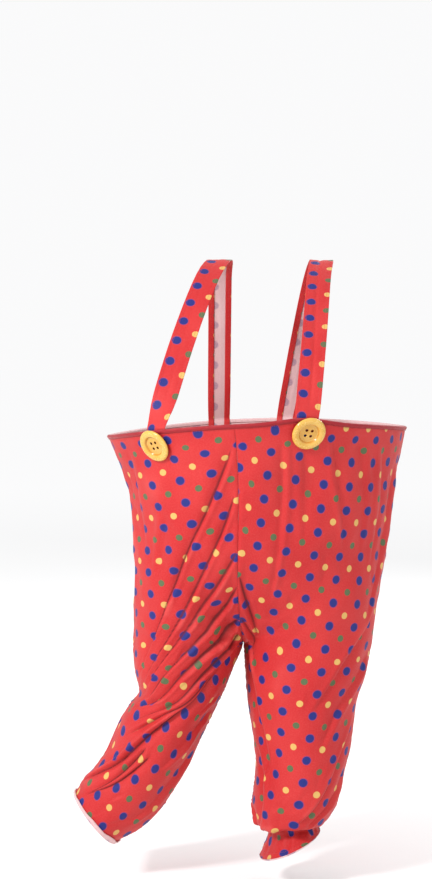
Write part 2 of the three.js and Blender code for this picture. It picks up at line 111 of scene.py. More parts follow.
# The main creases. Each runs from (t0, v0) by (tm, vm) to (t1, v1): t goes round a
# leg from the inner front (0) by the outer side (0.5) to the inner back (1), and v goes down from
# the waist (0) by the crotch (1) to the hem (2). Width, depth and the soft ridge beside it are in
# millimetres; "open" is 1 where the crease runs out of a seam and doesn't fade in.
CREASE_COLUMNS = "t0 v0 tm vm t1 v1 width depth ridge side open"
CREASES = {}
CREASES[RIGHT] = table(CREASE_COLUMNS, [
    # front: the long pulls from the front seam and the crotch to the outer knee
    (0.012, 0.05, 0.2, 0.52, 0.445, 1.2, 5.5, 6.5, 3.5, 1, 1),
    (0.012, 0.17, 0.17, 0.62, 0.446, 1.25, 4.5, 5, 2.5, 1, 1),
    (0.004, 0.33, 0.15, 0.68, 0.44, 1.28, 4.5, 5.5, 2.5, 1, 1),
    (0.004, 0.46, 0.16, 0.83, 0.435, 1.31, 5, 6, 3, 1, 1),
    (0.01, 0.64, 0.185, 1.0, 0.43, 1.35, 6.5, 8, 4, 1, 1),
    (0.02, 0.78, 0.15, 1.06, 0.41, 1.44, 4.5, 5, 3, 1, 1),
    (0.06, 0.96, 0.2, 1.2, 0.4, 1.52, 6, 6, 3, -1, 0),
    (0.1, 1.06, 0.265, 1.39, 0.485, 1.93, 6.5, 8.5, 4.5, -1, 0),
    (0.28, 1.5, 0.318, 1.66, 0.39, 1.94, 5, 7, 3, 1, 0),
    (0.25, 1.53, 0.3, 1.7, 0.4, 1.95, 3.5, 4.5, 2, -1, 0),
    (0.21, 0.28, 0.25, 0.42, 0.31, 0.62, 9, 3.5, 2, -1, 0),
    (0.05, 1.3, 0.13, 1.46, 0.2, 1.62, 9, 3.5, 2, 1, 0),
    (0.05, 1.5, 0.1, 1.68, 0.16, 1.9, 12, 4, 2, 1, 0),
    (0.3, 0.03, 0.33, 0.22, 0.35, 0.5, 14, 3, 1.5, 1, 0),
    (0.44, 0.06, 0.46, 0.4, 0.47, 0.82, 16, 5, 2.5, 1, 0),
    # back: the seat falls to the outer knee, and the calf hangs in slack bows
    (0.985, 0.3, 0.83, 0.74, 0.6, 1.18, 14, 11, 4.5, -1, 1),
    (0.99, 0.55, 0.86, 0.88, 0.66, 1.24, 11, 8, 3.5, -1, 1),
    (0.98, 0.8, 0.82, 1.13, 0.6, 1.34, 12, 9, 4, 1, 1),
    (0.94, 1.1, 0.8, 1.35, 0.62, 1.47, 9, 6, 3, -1, 0),
    (0.93, 1.3, 0.76, 1.5, 0.57, 1.55, 13, 8, 4, 1, 0),
    (0.9, 1.52, 0.77, 1.67, 0.6, 1.7, 11, 7, 3.5, 1, 0),
    (0.86, 1.72, 0.75, 1.83, 0.62, 1.86, 9, 5, 2.5, -1, 0),
    (0.73, 0.04, 0.75, 0.34, 0.78, 0.66, 14, 6.5, 3, 1, 0),
    (0.86, 0.05, 0.87, 0.2, 0.9, 0.42, 12, 4.5, 2, -1, 0),
    (0.61, 0.04, 0.6, 0.36, 0.57, 0.78, 16, 7, 3, -1, 0),
    (0.67, 0.3, 0.66, 0.6, 0.62, 0.94, 11, 5, 2, 1, 0),
])
CREASES[LEFT] = table(CREASE_COLUMNS, [
    # front: soft pleats under the button, pulls beside the knee, the bag over the hem
    (0.092, 0.03, 0.098, 0.24, 0.085, 0.62, 7, 4, 2, -1, 0),
    (0.14, 0.03, 0.15, 0.2, 0.15, 0.42, 9, 2, 1, 1, 0),
    (0.205, 0.03, 0.226, 0.18, 0.262, 0.5, 7, 4, 2, 1, 0),
    (0.275, 0.03, 0.3, 0.2, 0.32, 0.55, 9, 3, 1.5, -1, 0),
    (0.36, 0.04, 0.375, 0.3, 0.37, 0.62, 10, 3.5, 1.5, 1, 0),
    (0.45, 0.1, 0.43, 0.5, 0.39, 0.9, 11, 4.5, 2, -1, 0),
    (0.005, 0.42, 0.035, 0.62, 0.07, 0.86, 6, 6, 3, 1, 1),
    (0.003, 0.62, 0.05, 0.84, 0.1, 1.12, 6, 5, 2.5, 1, 1),
    (0.02, 0.92, 0.07, 1.12, 0.12, 1.4, 11, 5, 2.5, -1, 1),
    (0.45, 0.8, 0.36, 1.01, 0.27, 1.22, 8, 4.5, 2.5, 1, 0),
    (0.45, 1.02, 0.38, 1.16, 0.3, 1.34, 9, 4.5, 2.5, -1, 0),
    (0.46, 1.22, 0.37, 1.42, 0.25, 1.68, 8, 6, 3, 1, 0),
    (0.45, 1.4, 0.38, 1.53, 0.3, 1.7, 8, 5, 2.5, -1, 0),
    (0.04, 1.3, 0.1, 1.55, 0.06, 1.78, 8, 3.5, 2, -1, 0),
    (0.17, 1.5, 0.19, 1.62, 0.17, 1.76, 12, 4, 2, 1, 0),
    (0.02, 1.56, 0.045, 1.66, 0.035, 1.76, 6, 3, 1.5, 1, 0),
    # back
    (0.985, 0.34, 0.87, 0.72, 0.75, 1.14, 14, 11, 4.5, 1, 1),
    (0.985, 0.58, 0.9, 0.84, 0.82, 1.2, 11, 7, 3.5, -1, 1),
    (0.98, 0.86, 0.86, 1.12, 0.7, 1.3, 12, 8, 4, 1, 1),
    (0.78, 0.04, 0.755, 0.36, 0.71, 0.7, 14, 7, 3, -1, 0),
    (0.88, 0.05, 0.87, 0.2, 0.85, 0.46, 12, 5, 2.5, 1, 0),
    (0.66, 0.04, 0.64, 0.36, 0.61, 0.76, 15, 6, 2.5, 1, 0),
    (0.57, 0.2, 0.56, 0.5, 0.55, 0.9, 14, 7, 3, -1, 0),
    (0.93, 1.14, 0.8, 1.4, 0.62, 1.52, 11, 8, 4, -1, 0),
    (0.9, 1.4, 0.77, 1.58, 0.6, 1.66, 12, 7, 3.5, 1, 0),
    (0.84, 1.6, 0.72, 1.7, 0.58, 1.73, 9, 5, 2.5, -1, 0),
])

# How each panel lies on the printed cloth, above and below the heights in "change". Each part has
# two steps on the panel laid flat, for one along the print's width and one up its length, and the
# place of a dot on the panel and on the print. The cloth is a little askew, as it hangs.
# Where a panel has "tucks" in place of a change, those rows of its leg's CREASES (from 0) hide the
# cloth that the bent knee takes up, and the dots are cut off along them.
GRAIN = {
    "front_right": {
        "tucks": (3, 4, 6),
        "above": ((1.15, 0.18), (-0.05, 0.93), (61.5, -10.0), (0, 0)),
        "below": ((0.52, -0.96), (0.7, 0.68), (83.5, -480.0), (49, -518)),
    },
    "back_right": {
        "change": (0.9, 1.35),
        "above": ((1.03, -0.12), (0.03, 0.98), (-2.0, -6.5), (0, 0)),
        "below": ((0.96, 0.23), (-0.15, 0.97), (3.0, -6.0), (0, 0)),
    },
    "front_left": {
        "change": (0.7, 1.2),
        "above": ((0.93, -0.09), (-0.04, 1.03), (-141.0, -8.0), (0, 0)),
        "below": ((0.98, 0.03), (0.01, 0.96), (-133.5, -53.0), (0, 0)),
    },
    "back_left": {
        "change": (0.9, 1.35),
        "above": ((1.0, 0.09), (-0.02, 1.0), (22.0, 10.5), (0, 0)),
        "below": ((0.99, 0.03), (-0.01, 0.98), (8.5, 6.0), (0, 0)),
    },
}

PANELS = {
    "front_right": {"leg": RIGHT, "from": 0.0, "to": 0.5},
    "back_right": {"leg": RIGHT, "from": 0.5, "to": 1.0},
    "front_left": {"leg": LEFT, "from": 0.0, "to": 0.5},
    "back_left": {"leg": LEFT, "from": 0.5, "to": 1.0},
}
PANEL_GRID = {"across": 124, "body": 116, "leg": 134, "crowding": 0.24}

chance = np.random.default_rng(11)


def smooth(low, high, x):
    s = np.clip((x - low) / (high - low), 0, 1)
    return s * s * (3 - 2 * s)


def unit(vectors):
    return vectors / np.maximum(np.linalg.norm(vectors, axis=-1, keepdims=True), 1e-9)


def at_row(column, row):
    """A smooth curve through the rows of a column, at row numbers that need not be whole."""
    last = len(column) - 1
    i = np.clip(np.floor(row).astype(int), 0, last - 1)
    s = row - i
    if np.ndim(column) > 1:
        s = s[(...,) + (None,) * (np.ndim(column) - 1)]
    a, b, c, d = (column[np.clip(i + k, 0, last)] for k in (-1, 0, 1, 2))
    return b + 0.5 * s * (c - a + s * (2 * a - 5 * b + 4 * c - d + s * (3 * (b - c) + d - a)))


def at_column(grid, column):
    return np.swapaxes(at_row(np.swapaxes(grid, 0, 1), column), 0, 1)


def walk(points):
    """How far along a line of points each of them is."""
    return np.concatenate([[0], np.cumsum(np.linalg.norm(np.diff(points, axis=0), axis=1))])


def body_row(z):
    heights = BODY["z"]
    i = np.clip(np.searchsorted(-heights, -z, side="right") - 1, 0, len(heights) - 2)
    return i + (z - heights[i]) / (heights[i + 1] - heights[i])


def hoop_rise(turn):
    """How far the hoop stands above its mean height at a turn from the front."""
    bend = HOOP_BEND
    from_pull = (np.degrees(turn) - bend["pull_at"]) / bend["pull_width"]
    sides = bend["side_tilt"] * np.sin(turn) + bend["front_lift"] * np.cos(turn)
    return sides + bend["saddle"] * np.cos(2 * turn) + bend["pull"] * np.exp(-(from_pull**2))


def loop_point(inner, outer, front, back, t):
    across = (1 - np.cos(2 * np.pi * t)) / 2
    x = inner[0] + (outer[0] - inner[0]) * across
    y = (front + back) / 2 - (back - front) / 2 * np.sin(2 * np.pi * t)
    z = inner[1] + (outer[1] - inner[1]) * across
    return np.stack([x, y, z], -1)


def smooth_cloth(leg, t, v):
    """The cloth's outer face without creases: t round a leg, v down it."""
    t, v = np.broadcast_arrays(np.asarray(t, float), np.asarray(v, float))
    apart = leg * CROTCH["apart"]
    rows = LEGS[leg]
    row = 1 + (np.maximum(v, 1) - 1) * (len(rows["ox"]) - 2)
    ox, oz, ix, iz, front, back = (at_row(rows[k], row) for k in ("ox", "oz", "ix", "iz", "front", "back"))
    lower = loop_point((ix + apart, iz), (ox, oz), front, back, t)
    u = np.minimum(v, 1)
    fall = HOOP["z"] - CROTCH["z"]
    inner_z = HOOP["z"] - fall * (1 - (1 - u) ** 2)
    outer_z = HOOP["z"] - fall * u
    z = inner_z + (outer_z - inner_z) * np.sin(np.pi * t) - HOOP_TO_EDGE * (1 - u)
    turn = FRONT_SEAM_TURN * (1 - u) + leg * np.pi * t
    raised = np.minimum(1, fall * (1 - u) ** 2 / CROTCH["rise"])
    opened = np.sqrt(1 - (1 - raised) ** 2)
    r = body_row(z)
    right, left, front, back = (at_row(BODY[k], r) for k in ("right", "left", "front", "back"))
    middle = (front + back) / 2
    deep = (back - front) / 2
    centre_x = HOOP["x"] + (CROTCH["x"] - HOOP["x"]) * smooth(262, 606, -z)
    wide = np.where(np.sin(turn) < 0, centre_x - right, left - centre_x)
    body = np.stack([centre_x + wide * np.sin(turn), middle - deep * np.cos(turn), z], -1)
    outer_x = right if leg == RIGHT else left
    d = deep * CROTCH["leg_depth"]
    loop = loop_point((CROTCH["x"] + 0 * z, z), (outer_x, z), middle - d, middle + d, t)
    upper = loop + (body - loop) * opened[..., None]
    upper[..., 0] += apart * (1 - opened)
    upper[..., 2] += hoop_rise(turn) * (1 - smooth(0, 0.85, u))
    return np.where((v >= 1)[..., None], lower, upper)


def settled_cloth(leg, t, v):
    """The smooth cloth with the fold at the crotch's height eased away from the inner seams."""
    inner = smooth(0.02, 0.2, t) * (1 - smooth(0.8, 0.98, t))
    reach = 0.07 * inner * (1 - smooth(0.0, 0.2, np.abs(v - 1)))
    above = smooth_cloth(leg, t, v - reach)
    below = smooth_cloth(leg, t, v + reach)
    return (above + below + 2 * smooth_cloth(leg, t, v)) / 4


def slopes(surface, leg, t, v, step, low=0.0, high=2.0):
    """How a surface runs round the leg and down it at a place, for one whole t and one whole v."""
    ta, tb = np.clip(t - step, 0, 1), np.clip(t + step, 0, 1)
    va, vb = np.clip(v - step, low, high), np.clip(v + step, low, high)
    around = (surface(leg, tb, v) - surface(leg, ta, v)) / (tb - ta)[..., None]
    down = (surface(leg, t, vb) - surface(leg, t, va)) / (vb - va)[..., None]
    return around, down


def outward(leg, t, v):
    """The direction out of the cloth. At the inner seams both sides take the same one."""
    t, v = np.broadcast_arrays(np.asarray(t, float), np.asarray(v, float))
    step = 1e-3
    from_seam = np.minimum(t, 1 - t)
    low = np.where((v >= 1) & (from_seam < 0.02), 1.0, 0.0)
    high = np.where((v < 1) & (from_seam < 0.02), 1 - step, 2.0)
    out = unit(np.cross(*slopes(settled_cloth, leg, t, v, step, low, high)) * -leg)
    seam = from_seam < 0.002
    out[..., 0] = np.where(seam & (v < 1), 0, out[..., 0])
    inseam = seam & (v >= 1)
    out[inseam] = unit(out[inseam] * np.array([1, 0, 0.3]))
    return unit(out)


def local_sizes(leg, t, v):
    """How many millimetres one whole t and one whole v measure here."""
    around, down = (np.linalg.norm(run, axis=-1) for run in slopes(smooth_cloth, leg, t, v, 2e-3))
    return np.maximum(around, 60), np.maximum(down, 120)


def crease_path(crease, steps):
    """The line of a crease, as steps + 1 places in t and v."""
    s = np.linspace(0, 1, steps + 1)
    path = []
    for axis in "tv":
        start, middle, end = (crease[axis + mark] for mark in "0m1")
        bend = 2 * middle - (start + end) / 2
        path.append((1 - s) ** 2 * start + 2 * s * (1 - s) * bend + s * s * end)
    return path


def creases_on(creases, t, v, sizes):
    """The cloth's height over its smooth form from a table of creases, and where their lines run."""
    around, down = sizes
    sunk = np.zeros(t.shape)
    raised = np.zeros(t.shape)
    line = np.zeros(t.shape)
    steps = 12
    for row in zip(*creases.values()):
        c = dict(zip(creases, row))
        path_t, path_v = crease_path(c, steps)
        nearest = np.full(t.shape, 1e9)
        aside = np.zeros(t.shape)
        along = np.zeros(t.shape)
        for k in range(steps):
            run_x = (path_t[k + 1] - path_t[k]) * around
            run_y = (path_v[k + 1] - path_v[k]) * down
            x = (t - path_t[k]) * around
            y = (v - path_v[k]) * down
            length = run_x**2 + run_y**2
            share = np.clip((x * run_x + y * run_y) / length, 0, 1)
            far = (x - share * run_x) ** 2 + (y - share * run_y) ** 2
            closer = far < nearest
            nearest = np.where(closer, far, nearest)
            cross = (run_x * y - run_y * x) / np.sqrt(length)
            aside = np.where(closer, np.sign(cross) * np.sqrt(far), aside)
            along = np.where(closer, (k + share) / steps, along)
        fade_in = np.maximum(smooth(0, 0.22, along), c["open"] * smooth(-0.12, 0.1, along))
        fade = fade_in * (1 - smooth(0.84, 1.0, along)) * (1 - 0.3 * smooth(0.45, 0.9, along))
        width = c["width"] * (1 - 0.42 * smooth(0.45, 0.95, along))
        a = aside * c["side"]
        trough = np.exp(-(np.abs(a) / (width * np.where(a > 0, 0.6, 1.7))) ** 1.25)
        ridge = np.exp(-(((a - 1.35 * width) / (0.8 * width)) ** 2))
        sunk += (fade * c["depth"] * trough) ** 3
        raised += (fade * c["ridge"] * ridge) ** 3
        # keen: how dark the painted shade line along this crease's bottom is, darkest for narrow, deep
        # creases
        keen = np.clip((c["depth"] / c["width"] - 0.35) / 0.75, 0, 1)
        line = np.maximum(line, fade * keen * np.exp(-np.abs(aside) / (0.7 + 0.16 * width)))
    return np.cbrt(raised) - np.cbrt(sunk), line


def small_creases(leg, count):
    """Short, shallow creases that follow the pull of the cloth, each a little different."""
    rows = []
    for _ in range(count):
        t, v = chance.uniform(0.03, 0.97), chance.uniform(0.03, 1.9)
        near_front = 1 - 2 * smooth(0.4, 0.6, t)
        pull = (0.26 if leg == RIGHT else 0.1) * smooth(0.1, 0.7, v) * near_front
        if leg == LEFT and v > 0.8:
            pull = -0.2 * near_front
        long_v = chance.uniform(0.05, 0.16)
        long_t = pull * long_v * chance.uniform(0.7, 2.2) + chance.normal(0, 0.012)
        half_t, half_v = long_t / 2, long_v / 2
        path = [t - half_t, v - half_v, t + chance.normal(0, 0.006), v, t + half_t, v + half_v]
        shape = [chance.uniform(*span) for span in ((3.0, 7.5), (0.5, 1.9), (0.2, 0.9))]
        rows.append([*path, *shape, chance.choice((-1, 1)), 0])
    return table(CREASE_COLUMNS, rows)


def waves(seed, count, shortest, longest):
    """A gently uneven field of heights from many slanting waves, about one unit high."""
    own = np.random.default_rng(seed)
    length = own.uniform(shortest, longest, count)
    way = own.uniform(0, np.pi, count)
    start = own.uniform(0, 2 * np.pi, count)
    size = length / length.sum() * np.sqrt(count)

    def height(x, y):
        total = np.zeros(np.broadcast(x, y).shape)
        for n in range(count):
            total += size[n] * np.sin(
                2 * np.pi / length[n] * (x * np.cos(way[n]) + y * np.sin(way[n])) + start[n]
            )
        return total

    return height


sag = waves(3, 14, 70, 190)
rumple = waves(5, 18, 22, 60)
pucker = waves(8, 9, 11, 26)

SMALL = {leg: small_creases(leg, 70) for leg in (RIGHT, LEFT)}
# How the legs lie on the fields of waves, in millimetres
FIELD = {"around": 600, "down": 340, "apart": 900}
# The seams by t, with the depth of each one's groove and the height of the puckers beside it
SEAMS = ((0.0, 1.3, 0.9), (0.5, 1.0, 0.7), (1.0, 1.3, 0.9))
GATHERS = table("place depth", [
    (0.05, 1.8), (0.13, 0.9), (0.2, 2.4), (0.29, 0.7), (0.36, 1.6), (0.44, 1.1),
    (0.53, 2.2), (0.6, 0.8), (0.69, 1.9), (0.75, 1.0), (0.84, 2.1), (0.91, 1.2),
])


def cloth_folds(leg, t, v):
    """How far the cloth lies over (or, below zero, under) its smooth form, and its crease lines."""
    around, down = sizes = local_sizes(leg, t, v)
    x = t * FIELD["around"] + FIELD["apart"] * (leg + 1)
    y = v * FIELD["down"]
    free = smooth(0, 0.06, t) * (1 - smooth(0.94, 1, t))
    ends = smooth(0.0, 0.09, v) * (1 - smooth(1.9, 2.0, v))
    height, line = creases_on(CREASES[leg], t, v, sizes)
    height = height * (0.25 + 0.75 * smooth(0, 0.025, np.minimum(t, 1 - t)))
    small, small_line = creases_on(SMALL[leg], t, v, sizes)
    height = height + small
    line = np.maximum(line, small_line) * ends
    height = height + free * (1.6 * sag(x, y) + 0.45 * rumple(x, y))
    height = height * ends
    for seam, deep, curl in SEAMS:
        off = np.abs(t - seam) * around
        side = np.sign(t - seam + 1e-9) * 40
        height = height - deep * np.exp(-((off / 3.2) ** 2)) * smooth(0, 0.03, v)
        lift = np.exp(-off / 13) * (1 - np.exp(-((off / 3.5) ** 2)))
        height = height + curl * lift * pucker(v * down + side, off * 0.35) * smooth(0.02, 0.1, v)
    gather = 0.55 * pucker(t * around * 0.6 + 300, v * 30) * np.exp(-v * down / 26)
    height = height + gather * smooth(0, 0.02, v) * free
    if leg == LEFT:
        height = height + hem_gathers(t, v)
    return height, line


def hem_gathers(t, v):
    """The left leg bags over its hem: uneven gathers run down into the narrow stretch below."""
    over = smooth(1.6, 1.78, v) * (1 - smooth(1.93, 2.0, v))
    total = np.zeros(t.shape)
    for place, depth in zip(*GATHERS.values()):
        lean = place + 0.02 * np.sin(40 * place) * (v - 1.6) * 3
        total -= depth * np.exp(-((t - lean) / 0.017) ** 2)
    droop = 1 + 0.3 * np.sin(9 * t + 1) + 0.2 * np.sin(23 * t)
    bag = 3.5 * np.exp(-(((v - 1.7) / 0.045) ** 2)) - 4.5 * np.exp(-(((v - 1.79) / 0.022) ** 2))
    return (total * over + bag * droop) * smooth(0, 0.03, t) * (1 - smooth(0.97, 1, t))


def over_cloth(leg, t, v, height):
    """Points over (or, below zero, under) the creased cloth's outer face."""
    t, v = np.broadcast_arrays(np.asarray(t, float), np.asarray(v, float))
    folds, _ = cloth_folds(leg, t, v)
    return settled_cloth(leg, t, v) + outward(leg, t, v) * (folds + height)[..., None]


def lay_flat(grid, rounds=1800):
    """Lays a grid of points flat and keeps the lengths of its sides and diagonals."""
    rows, columns, _ = grid.shape
    middle = columns // 2
    steps = np.linalg.norm(np.diff(grid, axis=1), axis=2)
    u = np.concatenate([np.zeros((rows, 1)), np.cumsum(steps, 1)], 1)
    u -= u[:, middle:middle + 1]
    falls = np.linalg.norm(np.diff(grid, axis=0), axis=2)
    v = -np.concatenate([np.zeros((1, columns)), np.cumsum(falls, 0)])
    flat = np.stack([u, v], -1)
    whole, first, last = slice(None), slice(0, -1), slice(1, None)
    links = [
        ((first, whole), (last, whole)),
        ((whole, first), (whole, last)),
        ((first, first), (last, last)),
        ((first, last), (last, first)),
        ((slice(0, -2), whole), (slice(2, None), whole)),
        ((whole, slice(0, -2)), (whole, slice(2, None))),
    ]
    lengths = [np.linalg.norm(grid[a] - grid[b], axis=-1) for a, b in links]
    count = np.zeros((rows, columns, 1))
    for a, b in links:
        count[a] += 1
        count[b] += 1
    for _ in range(rounds):
        move = np.zeros_like(flat)
        for (a, b), length in zip(links, lengths):
            apart = flat[b] - flat[a]
            now = np.maximum(np.linalg.norm(apart, axis=-1), 1e-6)
            pull = apart * (0.5 * (now - length) / now)[..., None]
            move[a] += pull
            move[b] -= pull
        flat += move / count
    return flat


def print_places(name, t, v):
    """Where each point of a panel lies on the printed cloth above its tucks and below them, in
    millimetres, and how far below each tuck it is."""
    plan = PANELS[name]
    columns = 15
    coarse_t = np.linspace(plan["from"], plan["to"], columns)
    coarse_v = np.concatenate([1 - np.linspace(1, 0, 19) ** 1.5, np.linspace(1, 2, 17)[1:]])
    grid = settled_cloth(plan["leg"], *np.meshgrid(coarse_t, coarse_v))
    grain = GRAIN[name]
    tucks = np.full(t.shape + (3,), -1.0)
    _, down = local_sizes(plan["leg"], t, v)
    for place, row in enumerate(grain.get("tucks", ())):
        path_t, path_v = crease_path({mark: column[row] for mark, column in CREASES[plan["leg"]].items()}, 24)
        tucks[..., place] = (v - np.interp(t, path_t, path_v)) * down
    if plan["leg"] == RIGHT:
        grid = grid[:, ::-1]
        t = plan["from"] + plan["to"] - t
    flat = lay_flat(grid)
    by_row = at_row(flat, np.interp(v[:, 0], coarse_v, np.arange(len(coarse_v))))
    place = (t[0] - plan["from"]) / (plan["to"] - plan["from"]) * (columns - 1)
    flat = at_column(by_row, place)

    def on_print(across, down, at, dot):
        steps = np.linalg.inv(np.array([across, down]).T)
        return (flat - np.array(at)) @ steps.T + np.array(dot)

    above, below = on_print(*grain["above"]), on_print(*grain["below"])
    if "tucks" not in grain:
        above = above + (below - above) * smooth(*grain["change"], v)[..., None]
    return above, below, tucks


# How much more of the print's width the second tuck hides than the third gives back, in metres
TAKEN_UP = 0.019
# The marks kept on the panels' points: the creases' height, which sets the painted shade in the troughs and
# the painted highlight on the ridges; the crease lines, along which shade is painted; the print's place below
# the tucks; and how far below each tuck a point is
FOLD_MARKS = ("crease", "line", "under_u", "under_v", "tuck_0", "tuck_1", "tuck_2")


def linked(name, data):
    made = bpy.data.objects.new(name, data)
    bpy.context.scene.collection.objects.link(made)
    return made


def quads(index, turn_over):
    """The corners of the faces between the rows and columns of a grid."""
    a, b, c, d = index[:-1, :-1], index[:-1, 1:], index[1:, 1:], index[1:, :-1]
    return np.stack((a, d, c, b) if turn_over else (a, b, c, d), -1).reshape(-1, 4)


def sheet_of(name, points, places, materials, around=False, turn_over=False, folds=None):
    """A mesh of quads from a grid of points in millimetres, with the print's own map."""
    index = np.arange(points[..., 0].size).reshape(points.shape[:2])
    if around:
        index = np.concatenate([index, index[:, :1]], 1)
    faces = quads(index, turn_over)
    mesh = bpy.data.meshes.new(name)
    mesh.from_pydata((points.reshape(-1, 3) * MM).tolist(), [], faces.tolist())
    own = np.arange(places[..., 0].size).reshape(places.shape[:2])
    spots = places.reshape(-1, 2)[quads(own, turn_over).ravel()] * MM
    mesh.uv_layers.new(name="print").data.foreach_set("uv", spots.astype(np.float32).ravel())
    if folds is not None:
        for mark, values in zip(FOLD_MARKS, np.moveaxis(folds, -1, 0)):
            made = mesh.attributes.new(mark, "FLOAT", "POINT")
            made.data.foreach_set("value", values.astype(np.float32).ravel())
    mesh.polygons.foreach_set("use_smooth", np.ones(len(faces), bool))
    for material in materials:
        mesh.materials.append(material)
    return linked(name, mesh)


def thicken(piece, thick, inner_material=1):
    wall = piece.modifiers.new("cloth", "SOLIDIFY")
    wall.thickness = thick * MM
    wall.offset = -1
    wall.material_offset = inner_material
    wall.use_quality_normals = True
    return piece


def turned_edges(layers, out, sides, r, columns):
    """Adds the half-round of each edge and the cloth turned back behind it. The layers are grids:
    points, their places on the print, and any marks that the turned cloth takes from its edge."""
    points, places, *marks = layers
    made = [[layer] for layer in layers]
    for edge, way, side in ((0, 1, sides[0]), (-1, -1, sides[1])):
        step = unit(places[:, edge + way] - places[:, edge])
        turned, printed = [], []
        for a in np.radians((30, 60, 90, 120, 150, 180)):
            sunk = out[:, edge] * (r * (1 - np.cos(a)))
            turned.append(points[:, edge] + side * (r * np.sin(a)) - sunk)
            printed.append(places[:, edge] - step * (r * a))
        for k in range(1, columns + 1):
            at = edge + way * k
            back = np.linalg.norm(points[:, at] - points[:, edge], axis=-1)[:, None]
            turned.append(points[:, at] - out[:, at] * (2 * r))
            printed.append(places[:, edge] - step * (r * np.pi + back))
        extra = [np.stack(turned, 1), np.stack(printed, 1)]
        extra += [np.repeat(mark[:, edge][:, None], len(turned), 1) for mark in marks]
        for grids, added in zip(made, extra):
            grids.insert(0 if way > 0 else 2, added[:, ::-way])
    return [np.concatenate(grids, 1) for grids in made]


def panel(name, materials):
    """One cut panel, turned in at both seams, from the binding to the hem."""
    plan, r = PANELS[name], CLOTH["seam_round"]
    leg = plan["leg"]
    body = np.linspace(0, 1, PANEL_GRID["body"] + 1)[:-1]
    rows = np.concatenate([body, np.linspace(1, 2, PANEL_GRID["leg"] + 1)])
    share = np.linspace(0, 1, PANEL_GRID["across"] + 1)
    share = share - PANEL_GRID["crowding"] * np.sin(2 * np.pi * share) / (2 * np.pi)
    seam_t, v = np.meshgrid(plan["from"] + (plan["to"] - plan["from"]) * share, rows)
    around, _ = local_sizes(leg, seam_t, v)
    t = seam_t + r / around * (1 - 2 * share) * 0.999
    points = over_cloth(leg, t, v, 0)
    places, under, tucks = print_places(name, seam_t, v)
    folds = np.concatenate([np.stack(cloth_folds(leg, t, v), -1), under * MM, tucks], -1)
    sides = unit(points[:, 0] - points[:, 1]), unit(points[:, -1] - points[:, -2])
    points, places, folds = turned_edges([points, places, folds], outward(leg, t, v), sides, r, 3)
    piece = sheet_of(name + "_cloth", points, places, materials, turn_over=leg == LEFT, folds=folds)
    return thicken(piece, CLOTH["thick"])


def on_waist(turn):
    from_seam = np.asarray(turn, float) - FRONT_SEAM_TURN
    wrapped = np.arctan2(np.sin(from_seam), np.cos(from_seam))
    return np.where(wrapped < 0, RIGHT, LEFT), np.abs(wrapped) / np.pi


def both_legs(function, legs, t, *more):
    """Calls a function of the right and of the left leg and keeps each point's own leg."""
    right = function(RIGHT, t, *more)
    left = function(LEFT, t, *more)
    chosen = legs == RIGHT
    return np.where(chosen[..., None], right, left)


def hoop_frame(turn):
    """The hoop's centre at a turn, with the directions out and down there."""
    legs, t = on_waist(turn)
    zero = np.zeros(t.shape)
    edge = both_legs(smooth_cloth, legs, t, zero)
    step = 1e-3
    inside = np.clip(t, step, 1 - step)
    before, after = (both_legs(smooth_cloth, legs, inside + way * step, zero) for way in (-1, 1))
    around = after - before
    down = both_legs(smooth_cloth, legs, t, zero + 0.01) - edge
    across = unit(np.cross(around, down) * -legs[..., None])
    down = unit(down - across * (down * across).sum(-1, keepdims=True))
    centre = edge - down * HOOP_TO_EDGE - across * (WALL / 2)
    return centre, across, down


def near_waist(turn, drop, height):
    """Points so far below the hoop's centre and over the cloth's outer face."""
    turn, drop, height = np.broadcast_arrays(turn, drop, height)
    centre, across, down = hoop_frame(turn)
    above = centre + across * (WALL / 2 + height)[..., None] + down * drop[..., None]
    legs, t = on_waist(turn)
    edge = both_legs(smooth_cloth, legs, t, 0 * t)
    rate = np.linalg.norm(both_legs(smooth_cloth, legs, t, 0 * t + 0.01) - edge, axis=-1) / 0.01
    v = np.maximum(drop - HOOP_TO_EDGE, 0) / rate
    below = both_legs(over_cloth, legs, t, v, height)
    return np.where((drop > HOOP_TO_EDGE)[..., None], below, above)


BINDING = {"columns": 720, "radius": 2.75, "lap_at": 171, "thick": 0.7}


def waist_binding(materials):
    """The bias strip folded over the hoop, with its edges turned in and its ends lapped behind."""
    turn = np.linspace(-np.pi, np.pi, BINDING["columns"], endpoint=False)
    centre, across, down = hoop_frame(turn)
    along = walk(centre)
    legs = [(1.2, 3.35), (1.6, 3.6), (1.9, 3.3), (1.95, 2.7), (2.1, 2.1), (2.4, 1.5)]
    r = BINDING["radius"]
    arc = [(r * np.cos(a), -r * np.sin(a)) for a in np.radians(np.arange(-20, 201, 20))]
    section = np.array(legs + arc + [(-x, y) for x, y in legs[::-1]])
    girth = walk(section)
    lap = 0.55 * smooth(2.2, 3.0, 6 - np.abs(np.degrees(turn) - BINDING["lap_at"]))
    out, drop = section.T[..., None]
    ripple = 1 + 0.045 * waves(21, 8, 5, 14)(along, girth[:, None] * 1.6)
    swell = ripple + 0.02 * np.sin(along / 3.1 + girth[:, None]) + lap / r
    points = centre + across * (out * swell)[..., None] + down * (drop * (0.5 + 0.5 * swell))[..., None]
    last = along[-1] + np.linalg.norm(centre[0] - centre[-1])
    places = np.stack(np.meshgrid(np.append(along, last), girth), -1)
    piece = sheet_of("binding_strip", points, places, materials, around=True)
    return thicken(piece, BINDING["thick"], 0)


